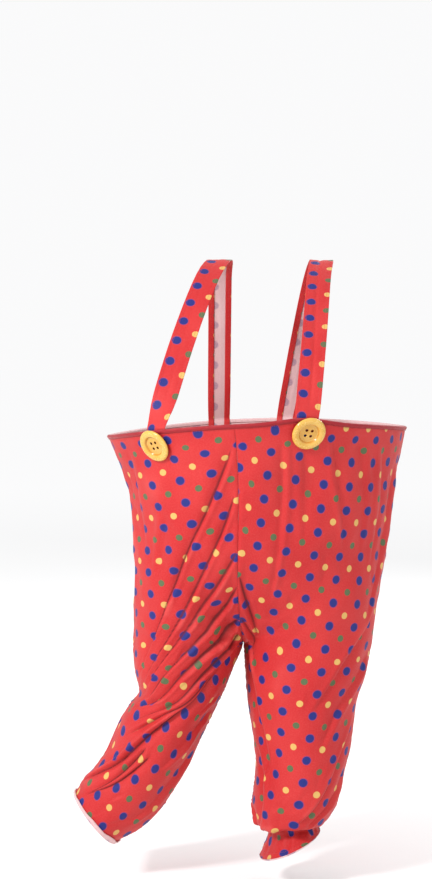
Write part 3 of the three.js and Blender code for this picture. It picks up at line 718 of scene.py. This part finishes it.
# "on_radius" is the waist's, "stitch_at" from the middle line, "print_at" the middle on the print
BRACE = {
    "width": 36.0, "thick": 1.6, "cloth": 0.62, "on_radius": 233.0,
    "stitch_at": 14.0, "print_at": 9.0, "columns": 21, "rows": 300,
}
BRACE_ENDS = table("drop inward", [(32, 2.3), (22, 2.3), (13, 2.4), (8, 2.9), (5, 3.7), (0, 4.7), (-4, 5)])
BRACES = {
    "brace_right": {"front": -42.0, "back": 195.0, "shoulder": -80.0, "fold": 0.35, "seed": 31},
    "brace_left": {"front": 18.0, "back": 166.0, "shoulder": 80.0, "fold": 1.5, "seed": 37},
}


def through(points, samples):
    """An even walk along a smooth curve through a few points, with its directions."""
    whole = [2 * points[0] - points[1], *points, 2 * points[-1] - points[-2]]
    dense = []
    for a, b, c, d in zip(whole, whole[1:], whole[2:], whole[3:]):
        gaps = [max(np.linalg.norm(q - p) ** 0.5, 1e-4) for p, q in ((a, b), (b, c), (c, d))]
        start = ((b - a) / gaps[0] - (c - a) / (gaps[0] + gaps[1]) + (c - b) / gaps[1]) * gaps[1]
        end = ((c - b) / gaps[1] - (d - b) / (gaps[1] + gaps[2]) + (d - c) / gaps[2]) * gaps[1]
        s = np.linspace(0, 1, 120, endpoint=False)[:, None]
        cubic = 2 * b - 2 * c + start + end
        square = -3 * b + 3 * c - 2 * start - end
        dense.append(b + start * s + square * s**2 + cubic * s**3)
    dense = np.concatenate(dense + [points[-1][None]])
    walked = walk(dense)
    at = np.asarray(samples) * walked[-1]
    return np.stack([np.interp(at, walked, dense[:, k]) for k in range(3)], -1)


def brace_rows(plan, across_share):
    """The brace's middle face: a row of points across it at each place along it."""
    half = BRACE["width"] / 2
    front, back = np.radians(plan["front"]), np.radians(plan["back"])
    drops, inward = BRACE_ENDS["drop"][:, None], BRACE_ENDS["inward"][:, None]

    def sewn_end(turn, way):
        return near_waist(turn + way * across_share * half / BRACE["on_radius"], drops, -inward)

    def mix(p, q, s):
        return p + (q - p) * s

    front_end, back_end = sewn_end(front, 1), sewn_end(back, -1)
    middle = len(across_share) // 2
    a, b = front_end[-1, middle], back_end[-1, middle]
    x = plan["shoulder"]
    path = np.array([
        a,
        (mix(x, a[0], 0.6), 0.7 * a[1], -128),
        (mix(x, a[0], 0.2), -62, -26),
        (x, 0, BRACE["thick"] / 2),
        (mix(x, b[0], 0.15), 58, -26),
        (mix(x, b[0], 0.55), 0.7 * b[1], -128),
        b,
    ])
    s = np.arange(1, 36) / 36
    centre = through(path, s)
    along = unit(through(path, np.minimum(s + 0.002, 1)) - through(path, s - 0.002))
    front_across = np.array([np.cos(front), np.sin(front), 0])
    back_across = -np.array([np.cos(back), np.sin(back), 0])
    across = mix(front_across, np.array([1.0, 0, 0]), smooth(0, 0.1, s)[:, None])
    across = mix(across, back_across, smooth(0.88, 1, s)[:, None])
    across = unit(across - along * (across * along).sum(-1, keepdims=True))
    free = centre[:, None] + across[:, None] * (across_share[None, :, None] * half)
    return np.concatenate([front_end, free, back_end[::-1]])


def brace(name, materials):
    """A strip of the printed cloth with both edges turned to its wrong side and sewn down."""
    plan = BRACES[name]
    half = BRACE["width"] / 2
    share = np.linspace(-1, 1, BRACE["columns"])
    coarse = brace_rows(plan, share)
    walked = walk(coarse[:, len(share) // 2])
    wanted = np.linspace(0, walked[-1], BRACE["rows"])
    rows = at_row(coarse, np.interp(wanted, walked, np.arange(len(walked))))
    sideways = unit(np.gradient(rows, axis=1))
    normal = unit(np.cross(sideways, unit(np.gradient(rows, axis=0))))
    free = smooth(30, 90, wanted) * (1 - smooth(walked[-1] - 90, walked[-1] - 30, wanted))
    x, y = share[None] * half, wanted[:, None]
    puffed = 0.35 * (1 - np.exp(-((np.abs(x) - 13) / 2.2) ** 2)) - 0.25
    line = 2.5 * np.sin(y / 90 + 1)
    fold = -plan["fold"] * np.exp(-(np.abs(x - line) / 2.6) ** 1.4)
    slack = waves(plan["seed"], 9, 60, 170)(y, x * 2.5)
    height = BRACE["thick"] / 2 + puffed * 0.5 + (fold + 0.55 * slack) * free[:, None]
    height = height + 0.16 * waves(33, 10, 9, 24)(y, x * 0.2) * smooth(9, 15, np.abs(x))
    face = rows + normal * height[..., None]
    places = np.stack(np.broadcast_arrays(x + BRACE["print_at"], -y), -1)
    r = BRACE["thick"] / 2 - 0.02
    sides = -sideways[:, 0], sideways[:, -1]
    points, places = turned_edges([face, places], normal, sides, r, 5)
    piece = sheet_of(name + "_strip", points, places, materials)
    lines = []
    for at in (-BRACE["stitch_at"], BRACE["stitch_at"]):
        column = np.array([(at / half + 1) / 2 * (len(share) - 1)])
        edge = at_column(face, column)[:, 0]
        lift = at_column(normal, column)[:, 0]
        lines += [edge + lift * 0.12, edge - lift * (2 * r + 0.1)]
    return thicken(piece, BRACE["cloth"]), lines


BUTTON = {"drop": 20.2, "off": 1.6, "lean": -0.06, "hole": 2.0, "hole_at": 6.2, "segments": 128}
BUTTONS = {"button_right": {"turn": -43.6, "spin": 10.0}, "button_left": {"turn": 18.0, "spin": -8.0}}
# The leg's end: where its edge is, and the place near it at which sizes are taken
HEM = {"columns": 300, "edge": 2.0, "near": 1.97, "thick": 0.6}
# The right leg's edge is rolled outwards, so that the pale wrong side of the cloth shows. The left
# one's is turned to the inside and sewn down.
ROLLED = [
    (0.0, -0.95), (-0.6, -0.6), (-1.1, 0.0), (-1.2, 0.9), (-0.7, 1.9), (0.4, 2.6), (1.9, 2.9),
    (3.7, 2.9), (5.5, 3.1), (7.3, 3.1), (8.3, 2.6), (8.5, 1.8), (8.0, 1.1), (7.2, 0.75),
]
TURNED = [
    (0.0, 0.0), (-0.5, -0.05), (-0.85, -0.4), (-0.95, -0.8), (-0.85, -1.25), (-0.5, -1.55), (0.0, -1.65),
    (2, -1.7), (5, -1.75), (8, -1.75), (9.5, -1.8), (10.0, -1.6), (9.6, -1.4),
]


def turned_shape(name, profile, segments):
    """A lathe-turned solid from (radius, height) points, closed on its axis at both ends."""
    made = bmesh.new()
    angles = np.arange(segments) * 2 * np.pi / segments
    rings = []
    for radius, height in profile:
        around = angles if radius else angles[:1]
        rings.append([
            made.verts.new((radius * MM * np.cos(a), radius * MM * np.sin(a), height * MM)) for a in around])
    for low, high in zip(rings, rings[1:]):
        for j in range(segments):
            k = (j + 1) % segments
            if len(low) == 1:
                made.faces.new((low[0], high[j], high[k]))
            elif len(high) == 1:
                made.faces.new((low[j], high[0], low[k]))
            else:
                made.faces.new((low[j], high[j], high[k], low[k]))
    bmesh.ops.recalc_face_normals(made, faces=made.faces)
    mesh = bpy.data.meshes.new(name)
    made.to_mesh(mesh)
    made.free()
    return linked(name, mesh)


def settle(piece):
    """Turns a piece with its modifiers into a plain mesh."""
    bpy.context.view_layer.update()
    evaluated = piece.evaluated_get(bpy.context.evaluated_depsgraph_get())
    mesh = bpy.data.meshes.new_from_object(evaluated)
    piece.modifiers.clear()
    piece.data = mesh
    mesh.name = piece.name
    return piece


def button(name, material):
    """A big glossy button: a fat rounded rim, a dished middle and four countersunk holes."""
    plan, hole = BUTTONS[name], BUTTON["hole"]
    outline = np.array([
        (0, 0), (12, 0), (20, 0.1), (22.6, 0.45), (24.6, 1.2), (25.7, 2.2), (26, 3.2), (25.7, 4.4),
        (24.8, 5.5), (23.3, 6.2), (21.3, 6.5), (19.3, 6.4), (17.5, 6.0), (16.2, 5.3), (15.4, 4.4),
        (14.9, 3.4), (14.4, 2.75), (13.5, 2.4), (11.5, 2.35), (9, 2.5), (5, 2.65), (0, 2.7),
    ])
    profile = at_row(outline, np.linspace(0, len(outline) - 1, 3 * len(outline) - 2))
    profile[:, 0] = np.maximum(profile[:, 0], 0)
    profile[[0, -1], 0] = 0
    piece = turned_shape(name + "_face", profile.tolist(), BUTTON["segments"])
    spool = [(0, -4), (hole + 0.6, -4), (hole + 0.6, -0.3), (hole + 0.25, 0.15), (hole, 0.6), (hole, 2.2)]
    spool += [(hole + 0.12, 2.65), (hole + 0.55, 3.05), (hole + 1.1, 3.35), (hole + 1.1, 9), (0, 9)]
    drills = []
    for angle in np.radians(45 + 90 * np.arange(4) + plan["spin"]):
        drill = turned_shape("drill", spool, 32)
        offset = Vector((np.cos(angle), np.sin(angle), 0)) * BUTTON["hole_at"] * MM
        drill.data.transform(Matrix.Translation(offset))
        drills.append(drill)
        cut = piece.modifiers.new("hole", "BOOLEAN")
        cut.operation = "DIFFERENCE"
        cut.solver = "EXACT"
        cut.object = drill
    settle(piece)
    for drill in drills:
        bpy.data.objects.remove(drill)
    turn, spin = np.radians([plan["turn"], plan["spin"]])
    centre, across, down = (value[0] for value in hoop_frame(np.array([turn])))
    out = unit(across - down * BUTTON["lean"])
    up = unit(np.cross(out, [np.cos(turn), np.sin(turn), 0]))
    origin = centre + down * BUTTON["drop"] + across * BUTTON["off"]
    co = np.zeros(len(piece.data.vertices) * 3)
    piece.data.vertices.foreach_get("co", co)
    co = co.reshape(-1, 3)
    c, s = np.cos(spin), np.sin(spin)
    disc = co @ np.array([[c, -s, 0], [s, c, 0], [0, 0, 1]])
    own = piece.data.attributes.new("disc", "FLOAT_VECTOR", "POINT")
    own.data.foreach_set("vector", disc.astype(np.float32).ravel())
    placed = origin * MM + co @ np.stack([np.cross(up, out), up, out])
    piece.data.vertices.foreach_set("co", placed.ravel())
    piece.data.polygons.foreach_set("use_smooth", np.ones(len(piece.data.polygons), bool))
    piece.data.materials.append(material)
    piece.data.update()
    return piece


def hem_band(name, leg, section, unevenness, materials):
    """A band that follows the end of a leg, with a section of (up, out) points by its edge."""
    section = np.array(section, float)
    t = np.linspace(0, 1, HEM["columns"], endpoint=False)
    rows_per_mm = 1 / np.mean(local_sizes(leg, t, np.full(t.shape, HEM["near"]))[1])
    around, _ = local_sizes(leg, t, np.full(t.shape, 1.98))
    walked = np.concatenate([[0], np.cumsum(around / len(t))])
    along = walked[:-1]
    up, out = section.T[..., None]
    rise = np.maximum(up, 0) * (1 + unevenness * waves(41 + leg, 10, 18, 60)(along, 0))
    puff = out * (1 + 0.5 * unevenness * waves(43 + leg, 10, 6, 15)(along, up * 2) * (up > 0.5))
    v = HEM["edge"] - rise * rows_per_mm
    points = over_cloth(leg, t, v, puff)
    past = unit(points - over_cloth(leg, t, v - 0.01, puff))
    points = points + past * np.maximum(-up, 0)[..., None]
    places = np.stack(np.meshgrid(walked, walk(section)), -1)
    piece = sheet_of(name, points, places, materials, around=True, turn_over=leg == RIGHT)
    return thicken(piece, HEM["thick"])


class Signal:
    """A socket of a tree's nodes: arithmetic on it adds Math nodes."""

    def __init__(self, tree, socket):
        self.tree = tree
        self.socket = socket

    def other(self, name):
        return Signal(self.tree, self.socket.node.outputs[name])

    def math(self, operation, *values):
        return self.tree.node("ShaderNodeMath", dict(enumerate(values)), operation=operation)

    def __add__(self, value):
        return self.math("ADD", self, value)

    def __sub__(self, value):
        return self.math("SUBTRACT", self, value)

    def __rsub__(self, value):
        return self.math("SUBTRACT", value, self)

    def __mul__(self, value):
        return self.math("MULTIPLY", self, value)

    __radd__ = __add__

    def wrapped(self, low, high):
        return self.math("WRAP", self, high, low)

    def sine(self):
        return self.math("SINE", self)

    def size(self):
        return self.math("ABSOLUTE", self)

    def root(self):
        return self.math("SQRT", self)

    def step(self, low, high):
        """From 0 at low to 1 at high, softly."""
        sockets = {"Value": self, "From Min": low, "From Max": high, "To Min": 0.0, "To Max": 1.0}
        return self.tree.node("ShaderNodeMapRange", sockets, interpolation_type="SMOOTHSTEP")


class Tree:
    """A node tree; node() takes a type, the values or links of its sockets and its settings."""

    def __init__(self, tree):
        self.tree = tree

    def node(self, kind, sockets=None, out=0, **settings):
        made = self.tree.nodes.new(kind)
        for key, value in settings.items():
            setattr(made, key, value)
        for key, value in (sockets or {}).items():
            socket = self.named(made.inputs, key)
            if isinstance(value, Signal):
                self.tree.links.new(value.socket, socket)
            else:
                socket.default_value = value
        return Signal(self, self.named(made.outputs, out)) if made.outputs else None

    @staticmethod
    def named(sockets, key):
        if isinstance(key, int):
            return sockets[key]
        return [s for s in sockets if s.identifier == key or s.name == key and s.enabled][0]


def stitch_tree(pitch, length, thread, seed, finish):
    """Geometry Nodes that sew a row of thread stitches along every line of a mesh."""
    tree = Tree(bpy.data.node_groups.new("row_of_stitches", "GeometryNodeTree"))
    for way in ("INPUT", "OUTPUT"):
        tree.tree.interface.new_socket(name="Geometry", in_out=way, socket_type="NodeSocketGeometry")
    curve = tree.node("GeometryNodeMeshToCurve", {"Mesh": tree.node("NodeGroupInput")})
    even = tree.node("GeometryNodeResampleCurve", {"Curve": curve, "Length": pitch * MM}, mode="LENGTH")
    ball = tree.node("GeometryNodeMeshUVSphere", {"Segments": 6, "Rings": 5, "Radius": 0.5})
    tangent = tree.node("GeometryNodeInputTangent")
    turn = tree.node("FunctionNodeAlignRotationToVector", {"Vector": tangent}, axis="Z")
    jitter = tree.node("FunctionNodeRandomValue", {2: 0.9, 3: 1.08, "Seed": seed}, 1, data_type="FLOAT")
    sockets = {0: (thread * MM, thread * MM, length * MM), "Scale": jitter}
    scale = tree.node("ShaderNodeVectorMath", sockets, operation="SCALE")
    sockets = {"Points": even, "Instance": ball, "Rotation": turn, "Scale": scale}
    sewn = tree.node("GeometryNodeInstanceOnPoints", sockets)
    whole = tree.node("GeometryNodeRealizeInstances", {"Geometry": sewn})
    shade = tree.node("GeometryNodeSetShadeSmooth", {"Geometry": whole})
    dressed = tree.node("GeometryNodeSetMaterial", {"Geometry": shade, "Material": finish})
    tree.node("NodeGroupOutput", {"Geometry": dressed})
    return tree.tree


def sew(name, lines, sizes, finish):
    """Stitches along lines of points in millimetres, made by Geometry Nodes and kept as a mesh."""
    points, edges = [], []
    for line in lines:
        edges += [(len(points) + k, len(points) + k + 1) for k in range(len(line) - 1)]
        points += (line * MM).tolist()
    mesh = bpy.data.meshes.new(name)
    mesh.from_pydata(points, edges, [])
    piece = linked(name, mesh)
    piece.modifiers.new("stitches", "NODES").node_group = stitch_tree(*sizes, finish)
    return settle(piece)


class Finish(Tree):
    """The node tree of a material."""

    def __init__(self, name):
        self.material = bpy.data.materials.new(name)
        self.material.use_nodes = True
        super().__init__(self.material.node_tree)
        self.tree.nodes.clear()

    def mix(self, share, one, other):
        """A colour between two colours."""
        one, other = (c if isinstance(c, Signal) else (*c, 1.0) for c in (one, other))
        sockets = {"Factor_Float": share, "A_Color": one, "B_Color": other}
        return self.node("ShaderNodeMix", sockets, "Result_Color", data_type="RGBA")

    def noise(self, place, scale, detail=2.0, rough=0.5):
        sockets = {"Vector": place, "Scale": scale, "Detail": detail, "Roughness": rough}
        return self.node("ShaderNodeTexNoise", sockets)

    def bump(self, height, depth, strength, under=None):
        sockets = {"Height": height, "Distance": depth, "Strength": strength}
        if under is not None:
            sockets["Normal"] = under
        return self.node("ShaderNodeBump", sockets)

    def weave(self, u, v, pitch, depth, strength, under=None):
        """The bump of threads that cross each other along u and v."""
        ring = 2 * np.pi / pitch
        return self.bump((u * ring).sine() * (v * ring).sine(), depth, strength, under)

    def printed(self):
        """The place on the printed cloth, in metres."""
        return self.node("ShaderNodeUVMap", uv_map="print")

    def place(self):
        """The place in the piece's own space, in metres."""
        return self.node("ShaderNodeTexCoord", out="Object")

    def marked(self, name, out):
        return self.node("ShaderNodeAttribute", out=out, attribute_name=name)

    def split(self, vector):
        x = self.node("ShaderNodeSeparateXYZ", {0: vector})
        return x, x.other("Y")

    def made_of(self, colour, rough, normal=None, specular=None, sheen=None, **others):
        """Ends the finish in a Principled surface. Sheen is its weight, roughness and tint."""
        sockets = {"Base Color": colour, "Roughness": rough}
        if normal is not None:
            sockets["Normal"] = normal
        if specular is not None:
            sockets["Specular IOR Level"] = specular
        if sheen:
            sockets.update(zip(("Sheen Weight", "Sheen Roughness", "Sheen Tint"), sheen))
        for words, value in others.items():
            sockets[words.replace("_", " ").title()] = value
        surface = self.node("ShaderNodeBsdfPrincipled", sockets)
        self.node("ShaderNodeOutputMaterial", {"Surface": surface})
        return self.material


DYES = {
    "red": (0.46, 0.011, 0.013),
    "clear_red": (0.53, 0.027, 0.026),
    # The colour of the painted shade in the cloth's creases
    "painted_crease_shade": (0.11, 0.001, 0.004),
    "blue": (0.011, 0.018, 0.165),
    "lilac": (0.19, 0.04, 0.15),
    "yellow": (0.60, 0.37, 0.105),
    "green": (0.085, 0.118, 0.052),
    "pale": (0.66, 0.44, 0.44),
}
# The printed repeat: blue dots in columns, with yellow and green ones in turn between them
REPEAT = {"wide": 0.049, "step": 0.037}
DOTS = {"blue": 0.0068, "halo": 0.0079, "yellow": 0.0054, "green": 0.0055}
# The pitch of the cloth's own threads, in metres
THREADS = 0.0009


def dots(finish, u, v, ground, fade=1.0):
    """The dot print over a ground colour; fade is how strongly it shows."""
    wide, tall = REPEAT["wide"], REPEAT["step"]
    blur = 0.00035
    wobble = finish.noise(finish.printed(), 900.0, 1.0) * 0.0006 - 0.0003

    def spot(off_u, off_v, apart, radius):
        x = (u + off_u).wrapped(-wide / 2, wide / 2)
        y = (v + off_v).wrapped(-apart / 2, apart / 2)
        far = (x * x + y * y).root() + wobble
        return (1 - far.step(radius - blur, radius + blur)) * fade

    colour = finish.mix(spot(0.0, 0.0, tall, DOTS["halo"]) * 0.75, ground, DYES["lilac"])
    colour = finish.mix(spot(0.0, 0.0, tall, DOTS["blue"]), colour, DYES["blue"])
    colour = finish.mix(spot(wide / 2, 1.5 * tall, 2 * tall, DOTS["yellow"]), colour, DYES["yellow"])
    return finish.mix(spot(wide / 2, 0.5 * tall, 2 * tall, DOTS["green"]), colour, DYES["green"])


def dotted_cloth(name, creased):
    """The right side of the cloth: coral red with printed dots, a fine weave and a soft sheen. On the creased
    panels the troughs and crease lines carry painted shade and the ridges a painted highlight.
    """
    finish = Finish(name)
    printed = finish.printed()
    u, v = finish.split(printed)
    slub = finish.noise(printed, 420.0, 2.0)
    cloudy = finish.noise(printed, 9.0, 3.0).step(0.3, 0.7)
    ground = finish.mix(cloudy * 0.7, DYES["red"], DYES["clear_red"])
    ground = finish.mix(slub.step(0.35, 0.75) * 0.09, ground, (0.70, 0.16, 0.15))
    if creased:
        over, line, under_u, under_v, *tucks = (finish.marked(mark, "Fac") for mark in FOLD_MARKS)
        passed = [tuck.step(-0.2, 0.2) for tuck in tucks]
        below = (passed[0] + passed[1] + passed[2]) * (1 / 3)
        u = u + (under_u - u) * below + (passed[1] - passed[2]) * TAKEN_UP
        v = v + (under_v - v) * below
        # Painted highlight: the ridges beside the creases are painted a lighter coral
        ground = finish.mix(over.step(1.5, 5.5) * 0.2, ground, (0.80, 0.16, 0.14))
    colour = dots(finish, u, v, ground)
    if creased:
        # Painted shade: the troughs of the creases and the thin lines along their bottoms are painted dark
        # red
        for share in ((1 - over.step(-10.0, -2.5)) * 0.3, line.step(0.08, 0.62) * 0.85):
            colour = finish.mix(share, colour, DYES["painted_crease_shade"])
    crepe = finish.bump(finish.noise(printed, 160.0, 3.0, 0.6), 0.0005, 0.35)
    normal = finish.weave(u, v, THREADS, 0.00006, 0.5, crepe)
    sheen = (0.05, 0.4, (1.0, 0.66, 0.62, 1.0))
    return finish.made_of(colour, 0.52 + slub * 0.14, normal, 0.3, sheen)


def wrong_side():
    """The wrong side of the cloth: pale, with the dots just showing through."""
    finish = Finish("pale_wrong_side")
    printed = finish.printed()
    u, v = finish.split(printed)
    slub = finish.noise(printed, 420.0, 2.0)
    cloudy = finish.noise(printed, 14.0, 3.0).step(0.3, 0.7)
    ground = finish.mix(cloudy * 0.5, DYES["pale"], (0.58, 0.34, 0.35))
    colour = dots(finish, u, v, ground, 0.3)
    colour = finish.mix(slub.step(0.35, 0.8) * 0.2, colour, (0.82, 0.68, 0.67))
    normal = finish.weave(u, v, THREADS, 0.00007, 0.6)
    return finish.made_of(colour, 0.72 + slub * 0.1, normal, 0.25, (0.15, 0.5))


def bias_strip():
    """Dark red binding cut on the bias, a little worn along its top."""
    finish = Finish("bias_strip")
    printed = finish.printed()
    u, v = finish.split(printed)
    slub = finish.noise(printed, 260.0, 3.0)
    patchy = finish.noise(printed, 60.0, 3.0).step(0.45, 0.7)
    worn = (1 - ((v - 0.0078).size()).step(0.0004, 0.0028)) * patchy
    colour = finish.mix(slub.step(0.3, 0.8) * 0.5, (0.27, 0.004, 0.010), (0.36, 0.010, 0.018))
    colour = finish.mix(worn * 0.3, colour, (0.52, 0.07, 0.08))
    colour = finish.mix(v.step(0.0098, 0.0104), colour, DYES["pale"])
    normal = finish.weave(u + v, u - v, 0.0011, 0.00008, 0.6)
    sheen = (0.2, 0.4, (1.0, 0.6, 0.6, 1.0))
    return finish.made_of(colour, 0.55 + slub * 0.15, normal, 0.35, sheen)


def button_plastic():
    """Glossy yellow plastic with faint orange clouds, rubbed on the rim, with painted shade on the dish's
    wall and over the dish, and dark brown inside the holes.
    """
    finish = Finish("button_plastic")
    disc = finish.marked("disc", "Vector")
    x, y = finish.split(disc)
    far = (x * x + y * y).root()
    clouds = finish.noise(disc, 55.0, 3.0)
    colour = finish.mix(clouds.step(0.3, 0.75), (0.60, 0.32, 0.035), (0.66, 0.40, 0.075))
    # Painted shade: the dish's inner wall is painted a darker orange, and the whole dish a little darker
    wall = far.step(0.0135, 0.0146) * (1 - far.step(0.0150, 0.0172))
    colour = finish.mix(wall * 0.6, colour, (0.46, 0.15, 0.004))
    colour = finish.mix((1 - far.step(0.0125, 0.0150)) * 0.25, colour, (0.52, 0.21, 0.012))
    hole_at = BUTTON["hole_at"] * np.sqrt(0.5) * MM
    aside, along = x.size() - hole_at, y.size() - hole_at
    hole = (aside * aside + along * along).root()
    colour = finish.mix(1 - hole.step(0.0019, 0.0026), colour, (0.07, 0.012, 0.002))
    rub = far.step(0.0185, 0.0215) * (1 - far.step(0.0235, 0.0255))
    rub = rub * finish.noise(disc, 420.0, 3.0).step(0.48, 0.7)
    colour = finish.mix(rub * 0.3, colour, (0.80, 0.62, 0.26))
    rough = 0.2 + rub * 0.3 + finish.noise(disc, 900.0, 2.0) * 0.08
    normal = finish.bump(finish.noise(disc, 130.0, 2.0), 0.0002, 0.25)
    return finish.made_of(
        colour, rough, normal,
        coat_weight=0.35, coat_roughness=0.12, subsurface_weight=0.06, subsurface_scale=0.003)


def thread(name, colour):
    finish = Finish(name)
    fibres = finish.noise(finish.place(), 2600.0, 2.0)
    shade = finish.mix(fibres, colour, tuple(min(1.0, 1.5 * c + 0.02) for c in colour))
    return finish.made_of(shade, 0.5 + fibres * 0.2, finish.bump(fibres, 0.00008, 0.6), sheen=(0.2,))


def hoop_plastic():
    finish = Finish("hoop_plastic")
    drawn = finish.noise(finish.place(), 320.0, 3.0)
    colour = finish.mix(drawn, (0.74, 0.72, 0.66), (0.83, 0.81, 0.76))
    return finish.made_of(colour, 0.4 + drawn * 0.2, finish.bump(drawn, 0.0002, 0.3))


def studio_floor():
    finish = Finish("studio_floor")
    place = finish.place()
    x, y = finish.split(place)
    near = finish.mix(finish.noise(place, 3.0, 3.0), (0.86, 0.86, 0.86), (0.88, 0.88, 0.875))
    colour = finish.mix((x * x + y * y).root().step(1.0, 9.0), near, (1.0, 1.0, 1.0))
    return finish.made_of(colour, 0.95, specular=0.0)


def around_waist(out, drop):
    centre, across, down = hoop_frame(np.linspace(-np.pi, np.pi, 900))
    return centre + across * out + down * drop


def around_hem(leg, up, out):
    t = np.linspace(0, 1, 420)
    _, down = local_sizes(leg, t, np.full(t.shape, HEM["near"]))
    return over_cloth(leg, t, HEM["edge"] - up / np.mean(down), out)


right_side = dotted_cloth("dotted_cloth", True)
strap_side = dotted_cloth("dotted_strap_cloth", False)
wrong = wrong_side()
strip = bias_strip()
plastic = button_plastic()
red_thread = thread("red_thread", (0.40, 0.014, 0.02))
pale_thread = thread("pale_thread", (0.62, 0.38, 0.37))

made = {node: panel(node, [right_side, wrong]) for node in PANELS}
made["hem_right"] = hem_band("rolled_hem", RIGHT, ROLLED, 0.14, [wrong, right_side])
made["hem_left"] = hem_band("turned_hem", LEFT, TURNED, 0.03, [strap_side, wrong])
made["waist_binding"] = waist_binding([strip])
brace_lines = []
for node in BRACES:
    made[node], lines = brace(node, [strap_side, wrong])
    brace_lines += lines
for node in BUTTONS:
    made[node] = button(node, plastic)

# Rows of stitches: pitch, stitch length and thread in millimetres, and a seed
waist_lines = [around_waist(side * 1.98, 4.4) for side in (1, -1)]
hem_lines = [around_hem(LEFT, 8.4, out) for out in (0.12, -2.0)]
rim_lines = [around_hem(RIGHT, 5.4, 2.42)]
sewn = {
    "strap": sew("strap_stitches", brace_lines, (2.9, 2.2, 0.42, 4), red_thread),
    "waist": sew("waist_stitches", waist_lines, (2.8, 2.1, 0.42, 5), red_thread),
    "hem": sew("hem_stitches", hem_lines, (2.9, 2.2, 0.42, 6), red_thread),
    "rim": sew("rim_stitches", rim_lines, (2.9, 2.1, 0.4, 7), pale_thread),
}
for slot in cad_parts["waist_hoop"].material_slots:
    slot.material = hoop_plastic()

SLOTS = {
    **dict.fromkeys((*PANELS, *BRACES), "dotted_cloth"),
    **dict.fromkeys(BUTTONS, "button_plastic"),
    "waist_binding": "binding_cloth",
    "hem_right": "hem_reverse",
    "hem_left": "dotted_cloth",
}
for node, slot in SLOTS.items():
    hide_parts(node)
for name, piece in sewn.items():
    "hem_reverse" if name == "rim" else "binding_cloth"
for piece in (*(made[node] for node in SLOTS), *sewn.values()):
    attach(piece, "root")

# What each sheet was cut to: its width and length in metres, and its area where it is shaped
CUTS = {
    "front_right": {"flat": (0.40, 0.72), "area": 0.185, "with_pieces": [made["hem_right"]]},
    "back_right": {"flat": (0.40, 0.72), "area": 0.187},
    "front_left": {"flat": (0.42, 0.75), "area": 0.214, "with_pieces": [made["hem_left"]]},
    "back_left": {"flat": (0.42, 0.73), "area": 0.201},
    "waist_binding": {"flat": (0.02, 1.45), "with_pieces": [sewn["waist"]]},
    "brace_right": {"flat": (0.054, 0.83)},
    "brace_left": {"flat": (0.054, 0.83), "with_pieces": [sewn["strap"]]},
}
for node, cut in CUTS.items():
    "hung" if node in PANELS else "stretched"

# The floor, the soft studio light and the camera at the photograph's angle
FLOOR = {"half": 40.0, "z": -0.99}
ground = bpy.data.meshes.new("floor")
ways = ((-1, -1), (1, -1), (1, 1), (-1, 1))
corners = [(x * FLOOR["half"], y * FLOOR["half"], FLOOR["z"]) for x, y in ways]
ground.from_pydata(corners, [], [(0, 1, 2, 3)])
ground.materials.append(studio_floor())
linked("floor", ground)


def aimed(name, data, place, aim):
    made = linked(name, data)
    made.location = place
    made.rotation_euler = (Vector(aim) - Vector(place)).to_track_quat("-Z", "Y").to_euler()
    return made


LIGHTS = {
    "key": {"place": (-1.75, -2.05, 0.95), "aim": (-0.05, 0, -0.42), "power": 70, "size": 0.55},
    "fill": {"place": (2.4, -2.2, 0.4), "aim": (0, 0, -0.5), "power": 6, "size": 2.2},
    "back": {"place": (1.6, 2.8, 1.4), "aim": (0, 0, -0.5), "power": 50, "size": 1.6},
}
for name, light in LIGHTS.items():
    lamp = bpy.data.lights.new(name, "AREA")
    lamp.shape = "DISK"
    lamp.energy = light["power"]
    lamp.size = light["size"]
    aimed(name, lamp, light["place"], light["aim"])

world = bpy.data.worlds.new("studio")
world.use_nodes = True
sky = world.node_tree.nodes["Background"].inputs
sky["Color"].default_value = (0.93, 0.93, 0.935, 1)
sky["Strength"].default_value = 1.03
bpy.context.scene.world = world
bpy.context.scene.view_settings.view_transform = "Standard"

lens = bpy.data.cameras.new("camera")
lens.lens = 92.8
lens.sensor_width = 36
bpy.context.scene.camera = aimed("camera", lens, (-0.087, -3.6, -0.100), (-0.087, 0, -0.284))
